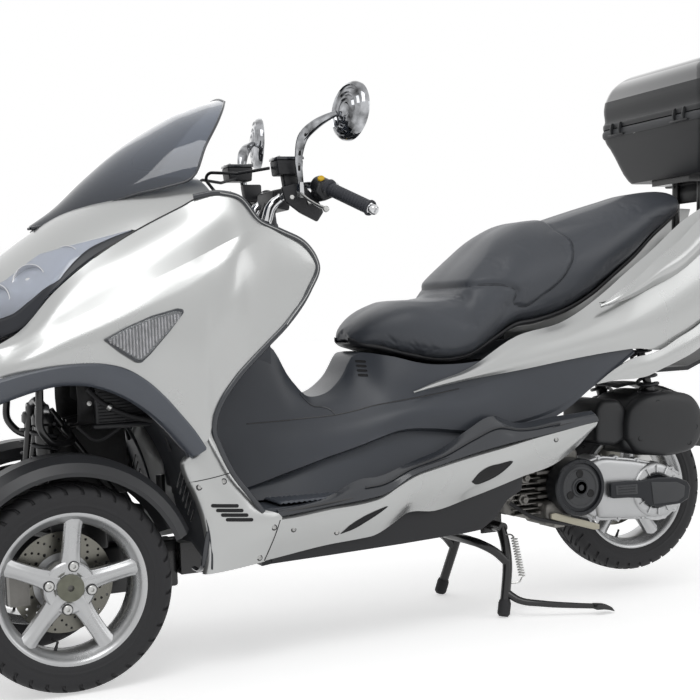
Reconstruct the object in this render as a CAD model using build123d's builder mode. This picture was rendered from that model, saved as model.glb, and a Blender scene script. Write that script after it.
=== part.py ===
from build123d import *
from math import cos, radians, sin, tan
import os

os.makedirs("parts", exist_ok=True)

# Reverse trike: a scooter with two steered front wheels and one driven rear wheel,
# parked on its centre stand, which holds the rear wheel just off the floor.
# Millimetres. +X to the tail, +Y to the vehicle's right, +Z up.
# The origin is on the floor, half way between the front fenders and the back of the top case.

# wheels and steering
FRONT_X = -1000.0           # front axle
REAR_X = 720.0              # rear axle
REAR_LIFT = 45.0            # rear tyre above the floor
HALF_TRACK = 247.0
TYRE_R = 243.0              # 130/60-13
TYRE_HALF_W = 65.0
FLANGE_R = 179.0
BEAD_R = 167.0
BARREL_HALF_W = 50.0
AXLE_R = 10.0
RUNNING = 0.05              # radial clearance of an axle in its hub
KINGPIN_Y = 150.0
STEER_ARM = 75.0            # kingpin to tie rod pin, and the same on the pitman arm
ROD_Z = 320.0
RAKE = 28.0
HEAD_X, HEAD_Z = -345.0, 1130.0     # point on the steering axis, between the grips
SHAFT_X = -696.0            # upright lower steering shaft, below the universal joint
FENDER_R = 307.0
FENDER_DROP = 37.0          # from the fender's crown to its side edges
FENDER_HALF_W = 80.0
FENDER_TIP = 20.0           # angle of the fender's ends above the axle

# body
WALL = 6.0                  # moulded panels
WELL_TOP = 706.0            # underside of the wheel wells
STAND_X, STAND_Z = 235.0, 232.0     # centre stand pivot
SEAT_HINGE_X, SEAT_HINGE_Z = -152.0, 738.0
CASE_FRONT, CASE_BACK = 868.0, 1286.0
CASE_LOW, CASE_SEAM, CASE_TOP = 1204.0, 1372.0, 1536.0
CASE_HALF_W = 272.0
CASE_HINGE_X = 861.0

STEER_DIR = Vector(sin(radians(RAKE)), 0, cos(radians(RAKE)))


def save(piece, name):
    piece.label = name
    export_step(piece, f"parts/{name}.step")


def tube(points, radius, bend=0.0):
    # round bar through the points, with tangent arcs at its corners, added to the open part
    with BuildLine() as path:
        if len(points) > 2:
            FilletPolyline(*points, radius=bend)
        else:
            Line(*points)
    with BuildSketch(path.line ^ 0) as disc:
        Circle(radius)
    sweep(disc.sketch, path=path.line)


def outline(plane, points):
    # closed polygon on a plane
    with BuildSketch(plane) as shape:
        with BuildLine():
            Polyline(*points, close=True)
        make_face()
    return shape.sketch


def disc(centre_plane, radius, height, mode=Mode.ADD):
    # cylinder standing on a plane's origin
    with BuildSketch(centre_plane) as shape:
        Circle(radius)
    extrude(shape.sketch, amount=height, mode=mode)


def ribbon_loft(rows, wall):
    # right-hand panel lofted along X; a row is x, then low, mid and high (y, z) of its outer face
    sections = []
    for x, low, mid, high in rows:
        inner = [(y - wall, z) for y, z in (high, mid, low)]
        sections.append(outline(Plane.YZ.offset(x), [low, mid, high, *inner]))
    loft(sections, ruled=True)


def arch_section(x, half_w, edge_z, crown_z, wall):
    # bow-shaped strip across the vehicle in the plane X = x
    with BuildSketch(Plane.YZ.offset(x)) as bow:
        with BuildLine():
            ThreePointArc((-half_w, edge_z), (0, crown_z), (half_w, edge_z))
            Line((half_w, edge_z), (half_w - wall, edge_z))
            ThreePointArc((half_w - wall, edge_z), (0, crown_z - wall), (wall - half_w, edge_z))
            Line((wall - half_w, edge_z), (-half_w, edge_z))
        make_face()
    return bow.sketch


def box(low, high, mode=Mode.ADD):
    # box between two corners, in either order, added to the open part
    low, high = [[f(a, b) for a, b in zip(low, high)] for f in (min, max)]
    size = [b - a for a, b in zip(low, high)]
    with Locations(tuple(low)):
        Box(*size, align=(Align.MIN, Align.MIN, Align.MIN), mode=mode)


def side_prism(points, y_low, y_high, mode=Mode.ADD):
    # side-view outline, (x, z) points, carried across from y_low to y_high
    extrude(outline(Plane.XZ.offset(-y_high), points), amount=y_high - y_low, mode=mode)


# ---------------------------------------------------------------- wheels

SPOKES = 5
SPOKE_START = 84.0
HUB_R = 40.0
DISC_R = 120.0


def wheel_profile(centre, side, points):
    # (radius, outboard offset) polygon turned into a ring about the axle
    profile = outline(Plane(origin=centre, x_dir=(1, 0, 0), z_dir=(0, 0, side)), points)
    revolve(profile, axis=Axis(centre, (0, 1, 0)))


def make_rim(centre, side):
    w = BARREL_HALF_W
    lip, drop, wall = 6.0, 12.0, 6.0
    outer = [(FLANGE_R, -w), (FLANGE_R, lip - w), (BEAD_R, lip - w), (BEAD_R, -26), (BEAD_R - drop, -18),
             (BEAD_R - drop, 18), (BEAD_R, 26), (BEAD_R, w - lip), (FLANGE_R, w - lip), (FLANGE_R, w)]
    inner = [(BEAD_R - wall, w), (BEAD_R - wall, 26), (BEAD_R - drop - wall, 18),
             (BEAD_R - drop - wall, -18), (BEAD_R - wall, -26), (BEAD_R - wall, -w)]
    face_low, face_high, hub_low, hub_high = 2.0, 30.0, -56.0, 34.0
    face = Plane(origin=centre, x_dir=(1, 0, 0), z_dir=(0, side, 0))
    with BuildPart() as rim:
        wheel_profile(centre, side, outer + inner)
        with BuildSketch(face.offset(hub_low)):
            Circle(HUB_R)
        extrude(amount=hub_high - hub_low)
        with BuildSketch(face.offset(face_low)):
            with PolarLocations(0, SPOKES, start_angle=SPOKE_START):
                with BuildLine():
                    Polyline((25, -21), (95, -15), (152, -27), (152, 27), (95, 15), (25, 21), close=True)
                make_face()
        extrude(amount=face_high - face_low)
        with BuildSketch(face.offset(hub_low)):
            Circle(DISC_R)
            Circle(DISC_R / 2 - 6, mode=Mode.SUBTRACT)
        extrude(amount=5)
        with BuildSketch(face.offset(hub_low)):
            Circle(DISC_R / 2)
        extrude(amount=14)
        with BuildSketch(face.offset(hub_low - 1)):
            Circle(AXLE_R + RUNNING)
        extrude(amount=60 - hub_low, mode=Mode.SUBTRACT)
    return rim.part


def make_tyre(centre, side):
    seat_r, seat_w = BEAD_R + 0.3, BARREL_HALF_W - 6.3
    shoulder_r, shoulder_w, tread = TYRE_R - 12, TYRE_HALF_W - 10, 11.0
    with BuildPart() as tyre:
        with BuildSketch(Plane(origin=centre, x_dir=(1, 0, 0), z_dir=(0, 0, side))):
            with BuildLine():
                Line((seat_r, -seat_w), (FLANGE_R + 1, -seat_w))
                ThreePointArc((FLANGE_R + 1, -seat_w), (207, -TYRE_HALF_W), (shoulder_r, -shoulder_w))
                ThreePointArc((shoulder_r, -shoulder_w), (TYRE_R, 0), (shoulder_r, shoulder_w))
                ThreePointArc((shoulder_r, shoulder_w), (207, TYRE_HALF_W), (FLANGE_R + 1, seat_w))
                Line((FLANGE_R + 1, seat_w), (seat_r, seat_w))
                Line((seat_r, seat_w), (seat_r, seat_w - tread))
                ThreePointArc((seat_r, seat_w - tread), (TYRE_R - tread, 0), (seat_r, tread - seat_w))
                Line((seat_r, tread - seat_w), (seat_r, -seat_w))
            make_face()
        revolve(axis=Axis(centre, (0, 1, 0)))
    return tyre.part


FRONT_Z, REAR_Z = TYRE_R, TYRE_R + REAR_LIFT
WHEELS = [
    # name, side of its outer face, centre
    ("front_{}_left", -1, (FRONT_X, -HALF_TRACK, FRONT_Z)),
    ("front_{}_right", 1, (FRONT_X, HALF_TRACK, FRONT_Z)),
    ("rear_{}", 1, (REAR_X, 0, REAR_Z)),
]
for name, side, centre in WHEELS:
    save(make_rim(centre, side), name.format("rim"))
    save(make_tyre(centre, side), name.format("tyre"))

# ---------------------------------------------------------------- front suspension and steering

for side, name in ((-1, "left"), (1, "right")):
    kingpin = (FRONT_X, side * KINGPIN_Y)
    outboard = Plane(origin=(*kingpin, FRONT_Z), x_dir=(1, 0, 0), z_dir=(0, side, 0))
    disc_y = HALF_TRACK - 56 + 2.5
    yoke_x = FRONT_X - DISC_R - 6
    arm_low = ROD_Z - 24
    with BuildPart() as knuckle:
        disc(Plane((*kingpin, 176)), 14, 148)
        disc(outboard, 24, 39)
        disc(outboard, AXLE_R, HALF_TRACK - KINGPIN_Y + 30)
        # steering arm and the tie rod's pin
        box((FRONT_X - 8, side * (KINGPIN_Y - 11), arm_low),
            (FRONT_X + STEER_ARM + 14, side * (KINGPIN_Y + 11), arm_low + 10))
        disc(Plane((FRONT_X + STEER_ARM, side * KINGPIN_Y, arm_low)), 6, 38)
        # brake caliper, a yoke over the front of the disc, and its bracket
        box((yoke_x, side * (disc_y - 22), FRONT_Z - 42), (yoke_x + 46, side * (disc_y + 16), FRONT_Z + 34))
        box((yoke_x + 3, side * (disc_y - 5), FRONT_Z - 50), (yoke_x + 60, side * (disc_y + 5), FRONT_Z + 50),
            mode=Mode.SUBTRACT)
        box((FRONT_X - 84, side * (KINGPIN_Y + 2), FRONT_Z - 18),
            (FRONT_X - 6, side * (disc_y - 8), FRONT_Z + 8))
    save(knuckle.part, f"knuckle_{name}")

    # fender over the wheel, with the stay that ties it to the kingpin
    centre = (FRONT_X, side * HALF_TRACK, FRONT_Z)
    tip = radians(FENDER_TIP)
    across = Plane(origin=centre, x_dir=(cos(tip), 0, sin(tip)), z_dir=(-side * sin(tip), 0, side * cos(tip)))
    inside, edge = FENDER_R - 10, FENDER_R - FENDER_DROP
    stay_y = HALF_TRACK - FENDER_HALF_W
    with BuildPart() as fender:
        profile = outline(across, [
            (edge - 10, 4 - FENDER_HALF_W), (edge, -FENDER_HALF_W), (FENDER_R - 16, -66), (FENDER_R, -34),
            (FENDER_R, 34), (FENDER_R - 16, 66), (edge, FENDER_HALF_W), (edge - 10, FENDER_HALF_W - 4),
            (inside - 16, 60), (inside, 30), (inside, -30), (inside - 16, -60)])
        revolve(profile, axis=Axis(centre, (0, -1, 0)), revolution_arc=180 - 2 * FENDER_TIP)
        box((FRONT_X - 16, side * stay_y, 300), (FRONT_X + 16, side * (stay_y + 6), FRONT_Z + edge - 4))
        box((FRONT_X - 16, side * (KINGPIN_Y + 14), 300), (FRONT_X + 16, side * stay_y, 306))
    save(fender.part, f"front_fender_{name}")

# inner pivots of the wishbones are at ARM_IN_Y; a row is outer ball height, inner height, half base
ARM_IN_Y = 56.0
WISHBONES = [(158, 190, 85), (343, 358, 72)]
SHOCK_LOW = (FRONT_X, 104.0, 174.5)
SHOCK_TOP = (FRONT_X, 62.0, 640.0)

with BuildPart() as arms:
    for side in (-1, 1):
        for out_z, in_z, base in WISHBONES:
            ball = (FRONT_X, side * KINGPIN_Y, out_z)
            for way in (-1, 1):
                pivot_x = FRONT_X + way * base
                tube([ball, (pivot_x, side * ARM_IN_Y, in_z)], 9)
                disc(Plane(origin=(pivot_x - 15, side * ARM_IN_Y, in_z), z_dir=(1, 0, 0)), 13, 30)
            with Locations(ball):
                Sphere(12)
        x, y, z = SHOCK_LOW
        tube([(x - 36, side * y, z), (x + 36, side * y, z)], 8)
save(arms.part, "suspension_arms")

with BuildPart() as shocks:
    for side in (-1, 1):
        low = Vector(SHOCK_LOW[0], side * SHOCK_LOW[1], SHOCK_LOW[2])
        top = Vector(SHOCK_TOP[0], side * SHOCK_TOP[1], SHOCK_TOP[2])
        up = (top - low).normalized()
        disc(Plane(origin=low, z_dir=up), 9, (top - low).length)
        disc(Plane(origin=low + up * 60, z_dir=up), 20, 150)
        disc(Plane(origin=low + up * 200, z_dir=up), 27, 225)
        for eye in (low, top):
            disc(Plane(origin=(eye.X - 14, eye.Y, eye.Z), z_dir=(1, 0, 0)), 16, 28)
            disc(Plane(origin=(eye.X - 15, eye.Y, eye.Z), z_dir=(1, 0, 0)), 8.05, 30, mode=Mode.SUBTRACT)
save(shocks.part, "front_shocks")

with BuildPart() as rod:
    pins = [(FRONT_X + STEER_ARM, -KINGPIN_Y), (FRONT_X + STEER_ARM, KINGPIN_Y), (SHAFT_X + STEER_ARM, 0)]
    tube([(*pins[0], ROD_Z), (*pins[1], ROD_Z)], 8)
    tube([(FRONT_X + STEER_ARM, 0, ROD_Z), (*pins[2], ROD_Z)], 8)
    for pin in pins:
        disc(Plane((*pin, ROD_Z - 11)), 14, 22)
    for pin in pins:
        disc(Plane((*pin, ROD_Z - 12)), 6 + RUNNING, 24, mode=Mode.SUBTRACT)
save(rod.part, "tie_rod")

JOINT_Z = 462.0             # universal joint between the raked column and the upright shaft
with BuildPart() as shaft:
    disc(Plane((SHAFT_X, 0, ROD_Z + 16)), 12, JOINT_Z - ROD_Z - 26)
    box((SHAFT_X - 14, -13, ROD_Z + 16), (SHAFT_X + STEER_ARM + 14, 13, ROD_Z + 28))
    disc(Plane((SHAFT_X + STEER_ARM, 0, ROD_Z - 14)), 6, 32)
save(shaft.part, "steering_shaft")

# carrier between the wheels, with the bearings of the wishbones, shocks and lower shaft
with BuildPart() as carrier:
    box((FRONT_X - 110, -42, 165), (FRONT_X + 330, 42, 290))
    box((FRONT_X - 110, -42, 290), (FRONT_X + 44, 42, 344))
    box((FRONT_X - 110, -42, 344), (FRONT_X + 150, 42, 420))
    box((FRONT_X + 150, -30, 344), (FRONT_X + 262, 30, 420))
    box((FRONT_X - 60, -34, 420), (FRONT_X + 60, 34, 665))
    for side in (-1, 1):
        for way in (-1, 1):
            box((FRONT_X + way * 15.5, side * 34, 618), (FRONT_X + way * 24, side * 84, 662))
    disc(Plane(origin=(FRONT_X - 24, 62, 640), z_dir=(1, 0, 0)), 8, 48)
    disc(Plane(origin=(FRONT_X - 24, -62, 640), z_dir=(1, 0, 0)), 8, 48)
    # hoops that stay the shock tower to the wheel wells
    for side in (-1, 1):
        tube([(FRONT_X - 30, side * 196, WELL_TOP - 4), (FRONT_X - 30, side * 196, 590),
              (FRONT_X + 48, side * 110, 572), (FRONT_X + 48, side * 30, 600)], 10, bend=26)
    # arm that holds the lower shaft
    box((FRONT_X + 262, -24, 390), (SHAFT_X + 26, 24, 416))
    disc(Plane((SHAFT_X, 0, 380)), 12 + RUNNING, 50, mode=Mode.SUBTRACT)
save(carrier.part, "front_carrier")

# ---------------------------------------------------------------- handlebar

COLUMN_R = 14.0
GRIP_IN = (-285.0, 215.0, 1162.0)
GRIP_OUT = (-230.0, 345.0, 1098.0)


def along_column(z):
    # point of the steering axis at a height
    return Vector(HEAD_X + (z - HEAD_Z) * tan(radians(RAKE)), 0, z)


with BuildPart() as handlebar:
    foot, head = along_column(JOINT_Z + 24), along_column(HEAD_Z + 10)
    disc(Plane(origin=foot, z_dir=STEER_DIR), COLUMN_R, (head - foot).length)
    disc(Plane(origin=head - STEER_DIR * 22, z_dir=STEER_DIR), 34, 36)
    half = [(HEAD_X, 0, HEAD_Z + 34), (HEAD_X - 8, 90, HEAD_Z + 60), (-309, 158, 1190), GRIP_IN]
    tube([(x, -y, z) for x, y, z in reversed(half)] + half[1:], 11, bend=30)
save(handlebar.part, "handlebar")

with BuildPart() as controls:
    for side in (-1, 1):
        grip_in, grip_out = [Vector(x, side * y, z) for x, y, z in (GRIP_IN, GRIP_OUT)]
        run = (grip_out - grip_in).normalized()
        disc(Plane(origin=grip_in, z_dir=run), 16.5, (grip_out - grip_in).length)
        disc(Plane(origin=grip_out, z_dir=run), 13, 26)
        with BuildSketch(Plane(origin=grip_in + run * 4, z_dir=run)) as switch:
            RectangleRounded(46, 50, 8)
        extrude(switch.sketch, amount=42)
        tube([tuple(grip_in + Vector(-34, 0, -6)), tuple(grip_out + Vector(-52, side * -22, -4))], 6)
        # bracket plate inboard of the switches
        side_prism([(-409, 1162), (-394, 1122), (-316, 1084), (-278, 1136)], side * 196 - 4, side * 196 + 4)
        # brake fluid reservoir on its clamp
        box((-401, side * 118, 1206), (-331, side * 178, 1254))
        box((-352, side * 128, 1176), (-326, side * 152, 1208))
    add(handlebar.part, mode=Mode.SUBTRACT)
save(controls.part, "hand_controls")

with BuildPart() as cables:
    for y, lift in ((14, 0), (-14, 10)):
        tube([(-405, y * 9, 1222), (-470, y * 5, 1204 + lift), (-560, y * 2, 1212 + lift),
              (-516, y * 2, 1166), (-425, y * 1.8, 1104), (-404, y * 1.8, 1030)], 4, bend=16)
save(cables.part, "control_cables")

with BuildPart() as mirrors:
    for side in (-1, 1):
        stem = [(-352, side * 196, 1168), (-358, side * 212, 1285), (-330, side * 255, 1325),
                (-292, side * 296, 1338)]
        tube(stem, 6, bend=20)
        face = Plane(origin=(-290, side * 330, 1340), z_dir=(0.93, side * -0.3, 0.2))
        disc(face, 78, 16)
        disc(face.offset(-12), 60, 14)
    add(controls.part, mode=Mode.SUBTRACT)
save(mirrors.part, "mirrors")

# ---------------------------------------------------------------- frame

CRADLE_Y, SEAT_RAIL_Y = 62.0, 172.0
with BuildPart() as frame:
    low, high = along_column(720), along_column(930)
    disc(Plane(origin=low, z_dir=STEER_DIR), 30, (high - low).length)
    for side in (-1, 1):
        tube([(FRONT_X + 66, side * 24, 600), (FRONT_X + 300, side * 36, 640), (-556, side * 34, 752)],
             14, bend=80)
        tube([(-560, side * 36, 752), (-566, side * CRADLE_Y, 420), (-500, side * CRADLE_Y, 300),
              (STAND_X + 10, side * CRADLE_Y, 300)], 14, bend=34)
        # plates that carry the centre stand
        box((STAND_X - 30, side * 48, 210), (STAND_X + 34, side * 56, 312))
    box((FRONT_X + 330, -CRADLE_Y, 200), (FRONT_X + 400, CRADLE_Y, 280))
    box((FRONT_X + 400, -50, 240), (-500, 50, 280))
    box((-540, -70, 262), (-500, 70, 318))
    box((110, -SEAT_RAIL_Y, 288), (146, SEAT_RAIL_Y, 312))
    disc(Plane(origin=along_column(640), z_dir=STEER_DIR), 20, 340, mode=Mode.SUBTRACT)
    disc(Plane(origin=(STAND_X, -80, STAND_Z), z_dir=(0, 1, 0)), 14 + RUNNING, 160, mode=Mode.SUBTRACT)
save(frame.part, "frame")

with BuildPart() as seat_rails:
    for side in (-1, 1):
        tube([(128, side * SEAT_RAIL_Y, 319), (170, side * SEAT_RAIL_Y, 420), (236, side * SEAT_RAIL_Y, 540),
              (340, side * SEAT_RAIL_Y, 664), (760, side * 130, 800), (990, side * 70, 1000)], 13, bend=34)
save(seat_rails.part, "seat_rails")

# ---------------------------------------------------------------- front body

# nose shell: station x, half width, height of its lower edge, height of its crown
NOSE = [(-1222, 96, 846, 878), (-1185, 186, 838, 935), (-1119, 238, 826, 990), (-1085, 252, 838, 1014),
        (-1009, 262, 921, 1068), (-926, 252, 985, 1120), (-860, 240, 1024, 1135), (-800, 226, 1058, 1142),
        (-720, 234, 1092, 1152), (-640, 240, 1126, 1160)]
with BuildPart() as nose_shell:
    loft([arch_section(*row, WALL) for row in NOSE], ruled=True)
LENS_TOP = [(-1240, 878), (-1150, 936), (-1050, 992), (-950, 1034), (-792, 1062)]
lens_side = LENS_TOP + [(-792, 1000), (-1009, 800), (-1240, 780)]
with BuildPart() as headlamps:
    add(nose_shell.part)
    side_prism(lens_side, -340, 340, mode=Mode.INTERSECT)
    box((-1240, -46, 700), (-780, 46, 1200), mode=Mode.SUBTRACT)
save(headlamps.part, "headlamps")
with BuildPart() as nose:
    add(nose_shell.part)
    add(headlamps.part, mode=Mode.SUBTRACT)
save(nose.part, "nose_fairing")

# panel that closes the nose between the wheel arches, with its grille opening
with BuildPart() as valance:
    VALANCE = [(-1157, 271), (-1184, 254), (-1212, 196), (-1232, 100), (-1238, 0)]
    front = VALANCE + [(x, -y) for x, y in VALANCE[-2::-1]]
    back = [(x + 8, y * 0.985 - 1) for x, y in VALANCE]
    back += [(x, -y) for x, y in back[-2::-1]]
    extrude(outline(Plane.XY.offset(712), front + back[::-1]), amount=112)
    box((-1300, -120, 738), (-1150, 120, 790), mode=Mode.SUBTRACT)
    add(nose.part, mode=Mode.SUBTRACT)
    add(headlamps.part, mode=Mode.SUBTRACT)
save(valance.part, "front_valance")

# windscreen: station x, half width, edge height, crown height
SCREEN = [(-985, 40, 1094, 1106), (-816, 128, 1154, 1245), (-651, 196, 1186, 1352), (-570, 176, 1290, 1390),
          (-505, 104, 1386, 1411)]
with BuildPart() as screen:
    loft([arch_section(*row, 4) for row in SCREEN], ruled=True)
save(screen.part, "windscreen")

# side fairings: x, then (y, z) of the outer face's low, crease and high points
FAIRING = [
    (-1150, (300, 738), (304, 762), (285, 800)), (-1085, (322, 752), (328, 790), (262, 832)),
    (-1000, (330, 766), (336, 815), (268, 922)), (-900, (333, 764), (338, 865), (258, 1000)),
    (-800, (333, 716), (338, 915), (244, 1050)), (-710, (330, 620), (334, 955), (246, 1098)),
    (-655, (322, 566), (330, 980), (250, 1128)), (-590, (318, 700), (326, 1010), (262, 1140)),
    (-500, (306, 812), (316, 1000), (288, 1070)), (-385, (296, 940), (298, 965), (294, 1002)),
]
INDICATOR = [(-905, 811), (-726, 871), (-826, 757)]
with BuildPart() as indicators:
    side_prism(INDICATOR, 322, 341)
    mirror(about=Plane.XZ)
save(indicators.part, "front_indicators")
with BuildPart() as fairings:
    ribbon_loft(FAIRING, WALL)
    mirror(about=Plane.XZ)
    add(indicators.part, mode=Mode.SUBTRACT)
save(fairings.part, "side_fairings")

# dark lips of the wheel arches, below the fairings and behind the wheels
ARCH_OUT = [(-1146, 728), (-1034, 750), (-913, 750), (-830, 722), (-761, 672), (-708, 608), (-676, 562)]
ARCH_IN = [(-716, 524), (-735, 600), (-790, 652), (-850, 688), (-925, 712), (-1030, 712), (-1146, 690)]
with BuildPart() as arch_trims:
    side_prism(ARCH_OUT + ARCH_IN, 262, 336)
    mirror(about=Plane.XZ)
save(arch_trims.part, "arch_trims")

# dark walls of the wheel wells
WELL = [(-1140, 684), (-1030, 706), (-925, 706), (-855, 682), (-796, 646), (-738, 594), (-694, 515),
        (-676, 420), (-671, 300), (-664, 300), (-668, 422), (-687, 518), (-731, 598), (-790, 651),
        (-851, 688), (-925, 712), (-1030, 712), (-1142, 690)]
with BuildPart() as wells:
    side_prism(WELL, 100, 258)
    mirror(about=Plane.XZ)
save(wells.part, "wheel_wells")

# lower shields behind the front wheels
SHIELD = [
    (-713, (284, 484), (286, 495), (285, 506)), (-690, (290, 426), (296, 480), (292, 530)),
    (-656, (296, 276), (313, 400), (316, 544)), (-645, (295, 230), (313, 390), (316, 530)),
    (-590, (290, 232), (306, 330), (310, 462)), (-530, (272, 238), (290, 300), (298, 366)),
]
with BuildPart() as shields:
    ribbon_loft(SHIELD, WALL)
    mirror(about=Plane.XZ)
save(shields.part, "lower_shields")

# shield in front of the rider's legs, with the console that covers the steering column
LEGS = [(-392, 1000), (-408, 930), (-470, 840), (-590, 716), (-640, 606), (-600, 470), (-592, 392),
        (-598, 388), (-607, 470), (-647, 606), (-596, 721), (-475, 845), (-414, 934), (-398, 1002)]
CONSOLE = [(-378, 1004), (-396, 930), (-414, 860), (-414, 384), (-598, 384), (-607, 470), (-647, 606),
           (-596, 721), (-475, 845), (-414, 934), (-398, 1002)]
INSIDE = [(-384, 1010), (-402, 930), (-420, 860), (-420, 370), (-700, 370), (-700, 840), (-430, 1010)]
CONSOLE_Y = 96.0
with BuildPart() as leg_shield:
    side_prism(LEGS, -284, 284)
    side_prism(CONSOLE, -CONSOLE_Y, CONSOLE_Y)
    side_prism(INSIDE, WALL - CONSOLE_Y, CONSOLE_Y - WALL, mode=Mode.SUBTRACT)
save(leg_shield.part, "leg_shield")

# instrument cowl under the screen, sloping down to the top of the leg shield
COWL_FLAT = [(-634, 1148), (-560, 1152), (-560, 1144), (-634, 1140)]
COWL_SLOPE = [(-560, 1152), (-500, 1086), (-452, 1058), (-400, 1008), (-406, 1002), (-456, 1051), (-504, 1080),
              (-560, 1144)]
with BuildPart() as cowl:
    side_prism(COWL_FLAT, -242, 242)
    side_prism(COWL_SLOPE, -262, 262)
    # instrument pod
    side_prism([(-630, 1146), (-622, 1176), (-572, 1164), (-566, 1146)], -110, 110)
    disc(Plane(origin=along_column(900), z_dir=STEER_DIR), 46, 300, mode=Mode.SUBTRACT)
save(cowl.part, "instrument_cowl")

# ---------------------------------------------------------------- floor and sides

BOARD = [(-585, 364), (-585, 378), (-440, 378), (-200, 380), (-120, 418), (30, 446), (30, 434), (-116, 405),
         (-196, 366), (-440, 364)]
with BuildPart() as boards:
    side_prism(BOARD, 84, 284)
    mirror(about=Plane.XZ)
save(boards.part, "footboards")

# tunnel, open underneath: x, half width and height of its top, half width and height of its foot
TUNNEL = [(-408, 84, 766, 112, 381), (-355, 84, 675, 116, 381), (-309, 86, 632, 120, 381),
          (-256, 92, 650, 128, 381), (-208, 100, 684, 138, 381), (-156, 116, 722, 152, 404)]
with BuildPart() as tunnel:
    sections = []
    for x, top_y, top_z, foot_y, foot_z in TUNNEL:
        waist = 0.45 * top_z + 0.55 * foot_z
        right = [(foot_y, foot_z), (top_y + 14, waist), (top_y, top_z - 24), (top_y - 26, top_z)]
        within = [(foot_y - WALL, foot_z), (top_y + 14 - WALL, waist), (top_y - WALL, top_z - 26 - WALL),
                  (top_y - 28, top_z - WALL)]
        ring = right + [(-y, z) for y, z in right[::-1]] + [(-y, z) for y, z in within] + within[::-1]
        sections.append(outline(Plane.YZ.offset(x), ring))
    loft(sections, ruled=True)
save(tunnel.part, "tunnel")

SKIRT = [
    (-518, (205, 243), (262, 300), (290, 362)), (-342, (210, 267), (290, 320), (296, 360)),
    (-200, (214, 278), (300, 336), (298, 372)), (-60, (218, 312), (302, 370), (300, 426)),
    (147, (220, 364), (304, 420), (306, 520)), (324, (226, 409), (300, 460), (312, 534)),
    (430, (262, 462), (296, 490), (312, 522)),
]
with BuildPart() as skirts:
    ribbon_loft(SKIRT, WALL)
    mirror(about=Plane.XZ)
save(skirts.part, "side_skirts")

with BuildPart() as steps:
    side_prism([(85, 540), (130, 560), (434, 552), (434, 540), (130, 546), (95, 532)], 244, 322)
    mirror(about=Plane.XZ)
save(steps.part, "passenger_steps")

with BuildPart() as belly:
    side_prism([(-500, 222), (-340, 240), (-200, 250), (-60, 282), (60, 282), (60, 294), (-500, 262)],
               -194, 194)
    box((-520, -80, 264), (80, 80, 400), mode=Mode.SUBTRACT)
save(belly.part, "belly_pan")

SIDE_PANEL = [
    (-150, (146, 411), (166, 560), (160, 712)), (-120, (158, 425), (178, 566), (176, 700)),
    (-60, (180, 436), (204, 590), (202, 640)), (30, (206, 453), (220, 600), (216, 650)),
    (90, (214, 480), (226, 606), (222, 655)), (256, (226, 510), (232, 620), (228, 668)),
    (430, (228, 545), (234, 632), (230, 690)), (600, (226, 668), (230, 686), (228, 704)),
]
with BuildPart() as side_panels:
    ribbon_loft(SIDE_PANEL, WALL)
    mirror(about=Plane.XZ)
save(side_panels.part, "side_panels")

REAR_BODY = [
    (-62, (208, 648), (210, 653), (206, 660)), (81, (226, 660), (234, 670), (214, 684)),
    (256, (234, 678), (244, 720), (206, 762)), (400, (236, 698), (246, 740), (200, 788)),
    (543, (236, 708), (246, 770), (196, 850)), (703, (228, 716), (240, 820), (186, 950)),
    (850, (206, 740), (222, 880), (170, 1060)), (1000, (170, 830), (188, 940), (140, 1120)),
    (1090, (136, 900), (150, 980), (110, 1116)),
]
with BuildPart() as rear_body:
    ribbon_loft(REAR_BODY, WALL)
    mirror(about=Plane.XZ)
save(rear_body.part, "rear_body")

# silver grab rails along the tail
RAIL = [
    (500, (252, 832), (266, 840), (256, 850)), (620, (252, 858), (276, 878), (258, 905)),
    (760, (244, 905), (272, 940), (252, 985)), (880, (230, 985), (262, 1030), (240, 1076)),
    (1000, (206, 1060), (234, 1096), (214, 1124)),
]
with BuildPart() as rails:
    ribbon_loft(RAIL, 16)
    mirror(about=Plane.XZ)
save(rails.part, "grab_rails")

with BuildPart() as tail_lamp:
    side_prism([(1094, 905), (1112, 912), (1112, 990), (1094, 1100)], -128, 128)
save(tail_lamp.part, "tail_lamp")

# mudguard behind the rear wheel, and the number plate's holder
PLATE_X, PLATE_Z = 1150.0, 628.0
PLATE_HOLES_Y, PLATE_HOLES_Z = 73.0, 35.0       # half spacings of the bolt holes
PLATE_HOLE_R = 3.5
with BuildPart() as mudguard:
    side_prism([(760, 640), (900, 640), (1060, 700), (PLATE_X, 712), (PLATE_X, 700), (1058, 688), (900, 628),
                (760, 628)], -95, 95)
    box((PLATE_X - 8, -100, 560), (PLATE_X, 100, 712))
    for y in (-PLATE_HOLES_Y, PLATE_HOLES_Y):
        for z in (PLATE_Z - PLATE_HOLES_Z, PLATE_Z + PLATE_HOLES_Z):
            disc(Plane(origin=(PLATE_X - 20, y, z), z_dir=(1, 0, 0)), PLATE_HOLE_R, 40, mode=Mode.SUBTRACT)
save(mudguard.part, "rear_mudguard")

# ---------------------------------------------------------------- seat and storage

BIN_LOW, BIN_HIGH = (-76, -150, 452), (330, 150, 690)
with BuildPart() as bin_part:
    box(BIN_LOW, BIN_HIGH)
    box([a + WALL for a in BIN_LOW], (BIN_HIGH[0] - WALL, BIN_HIGH[1] - WALL, BIN_HIGH[2] + 1),
        mode=Mode.SUBTRACT)
save(bin_part.part, "storage_bin")

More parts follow.
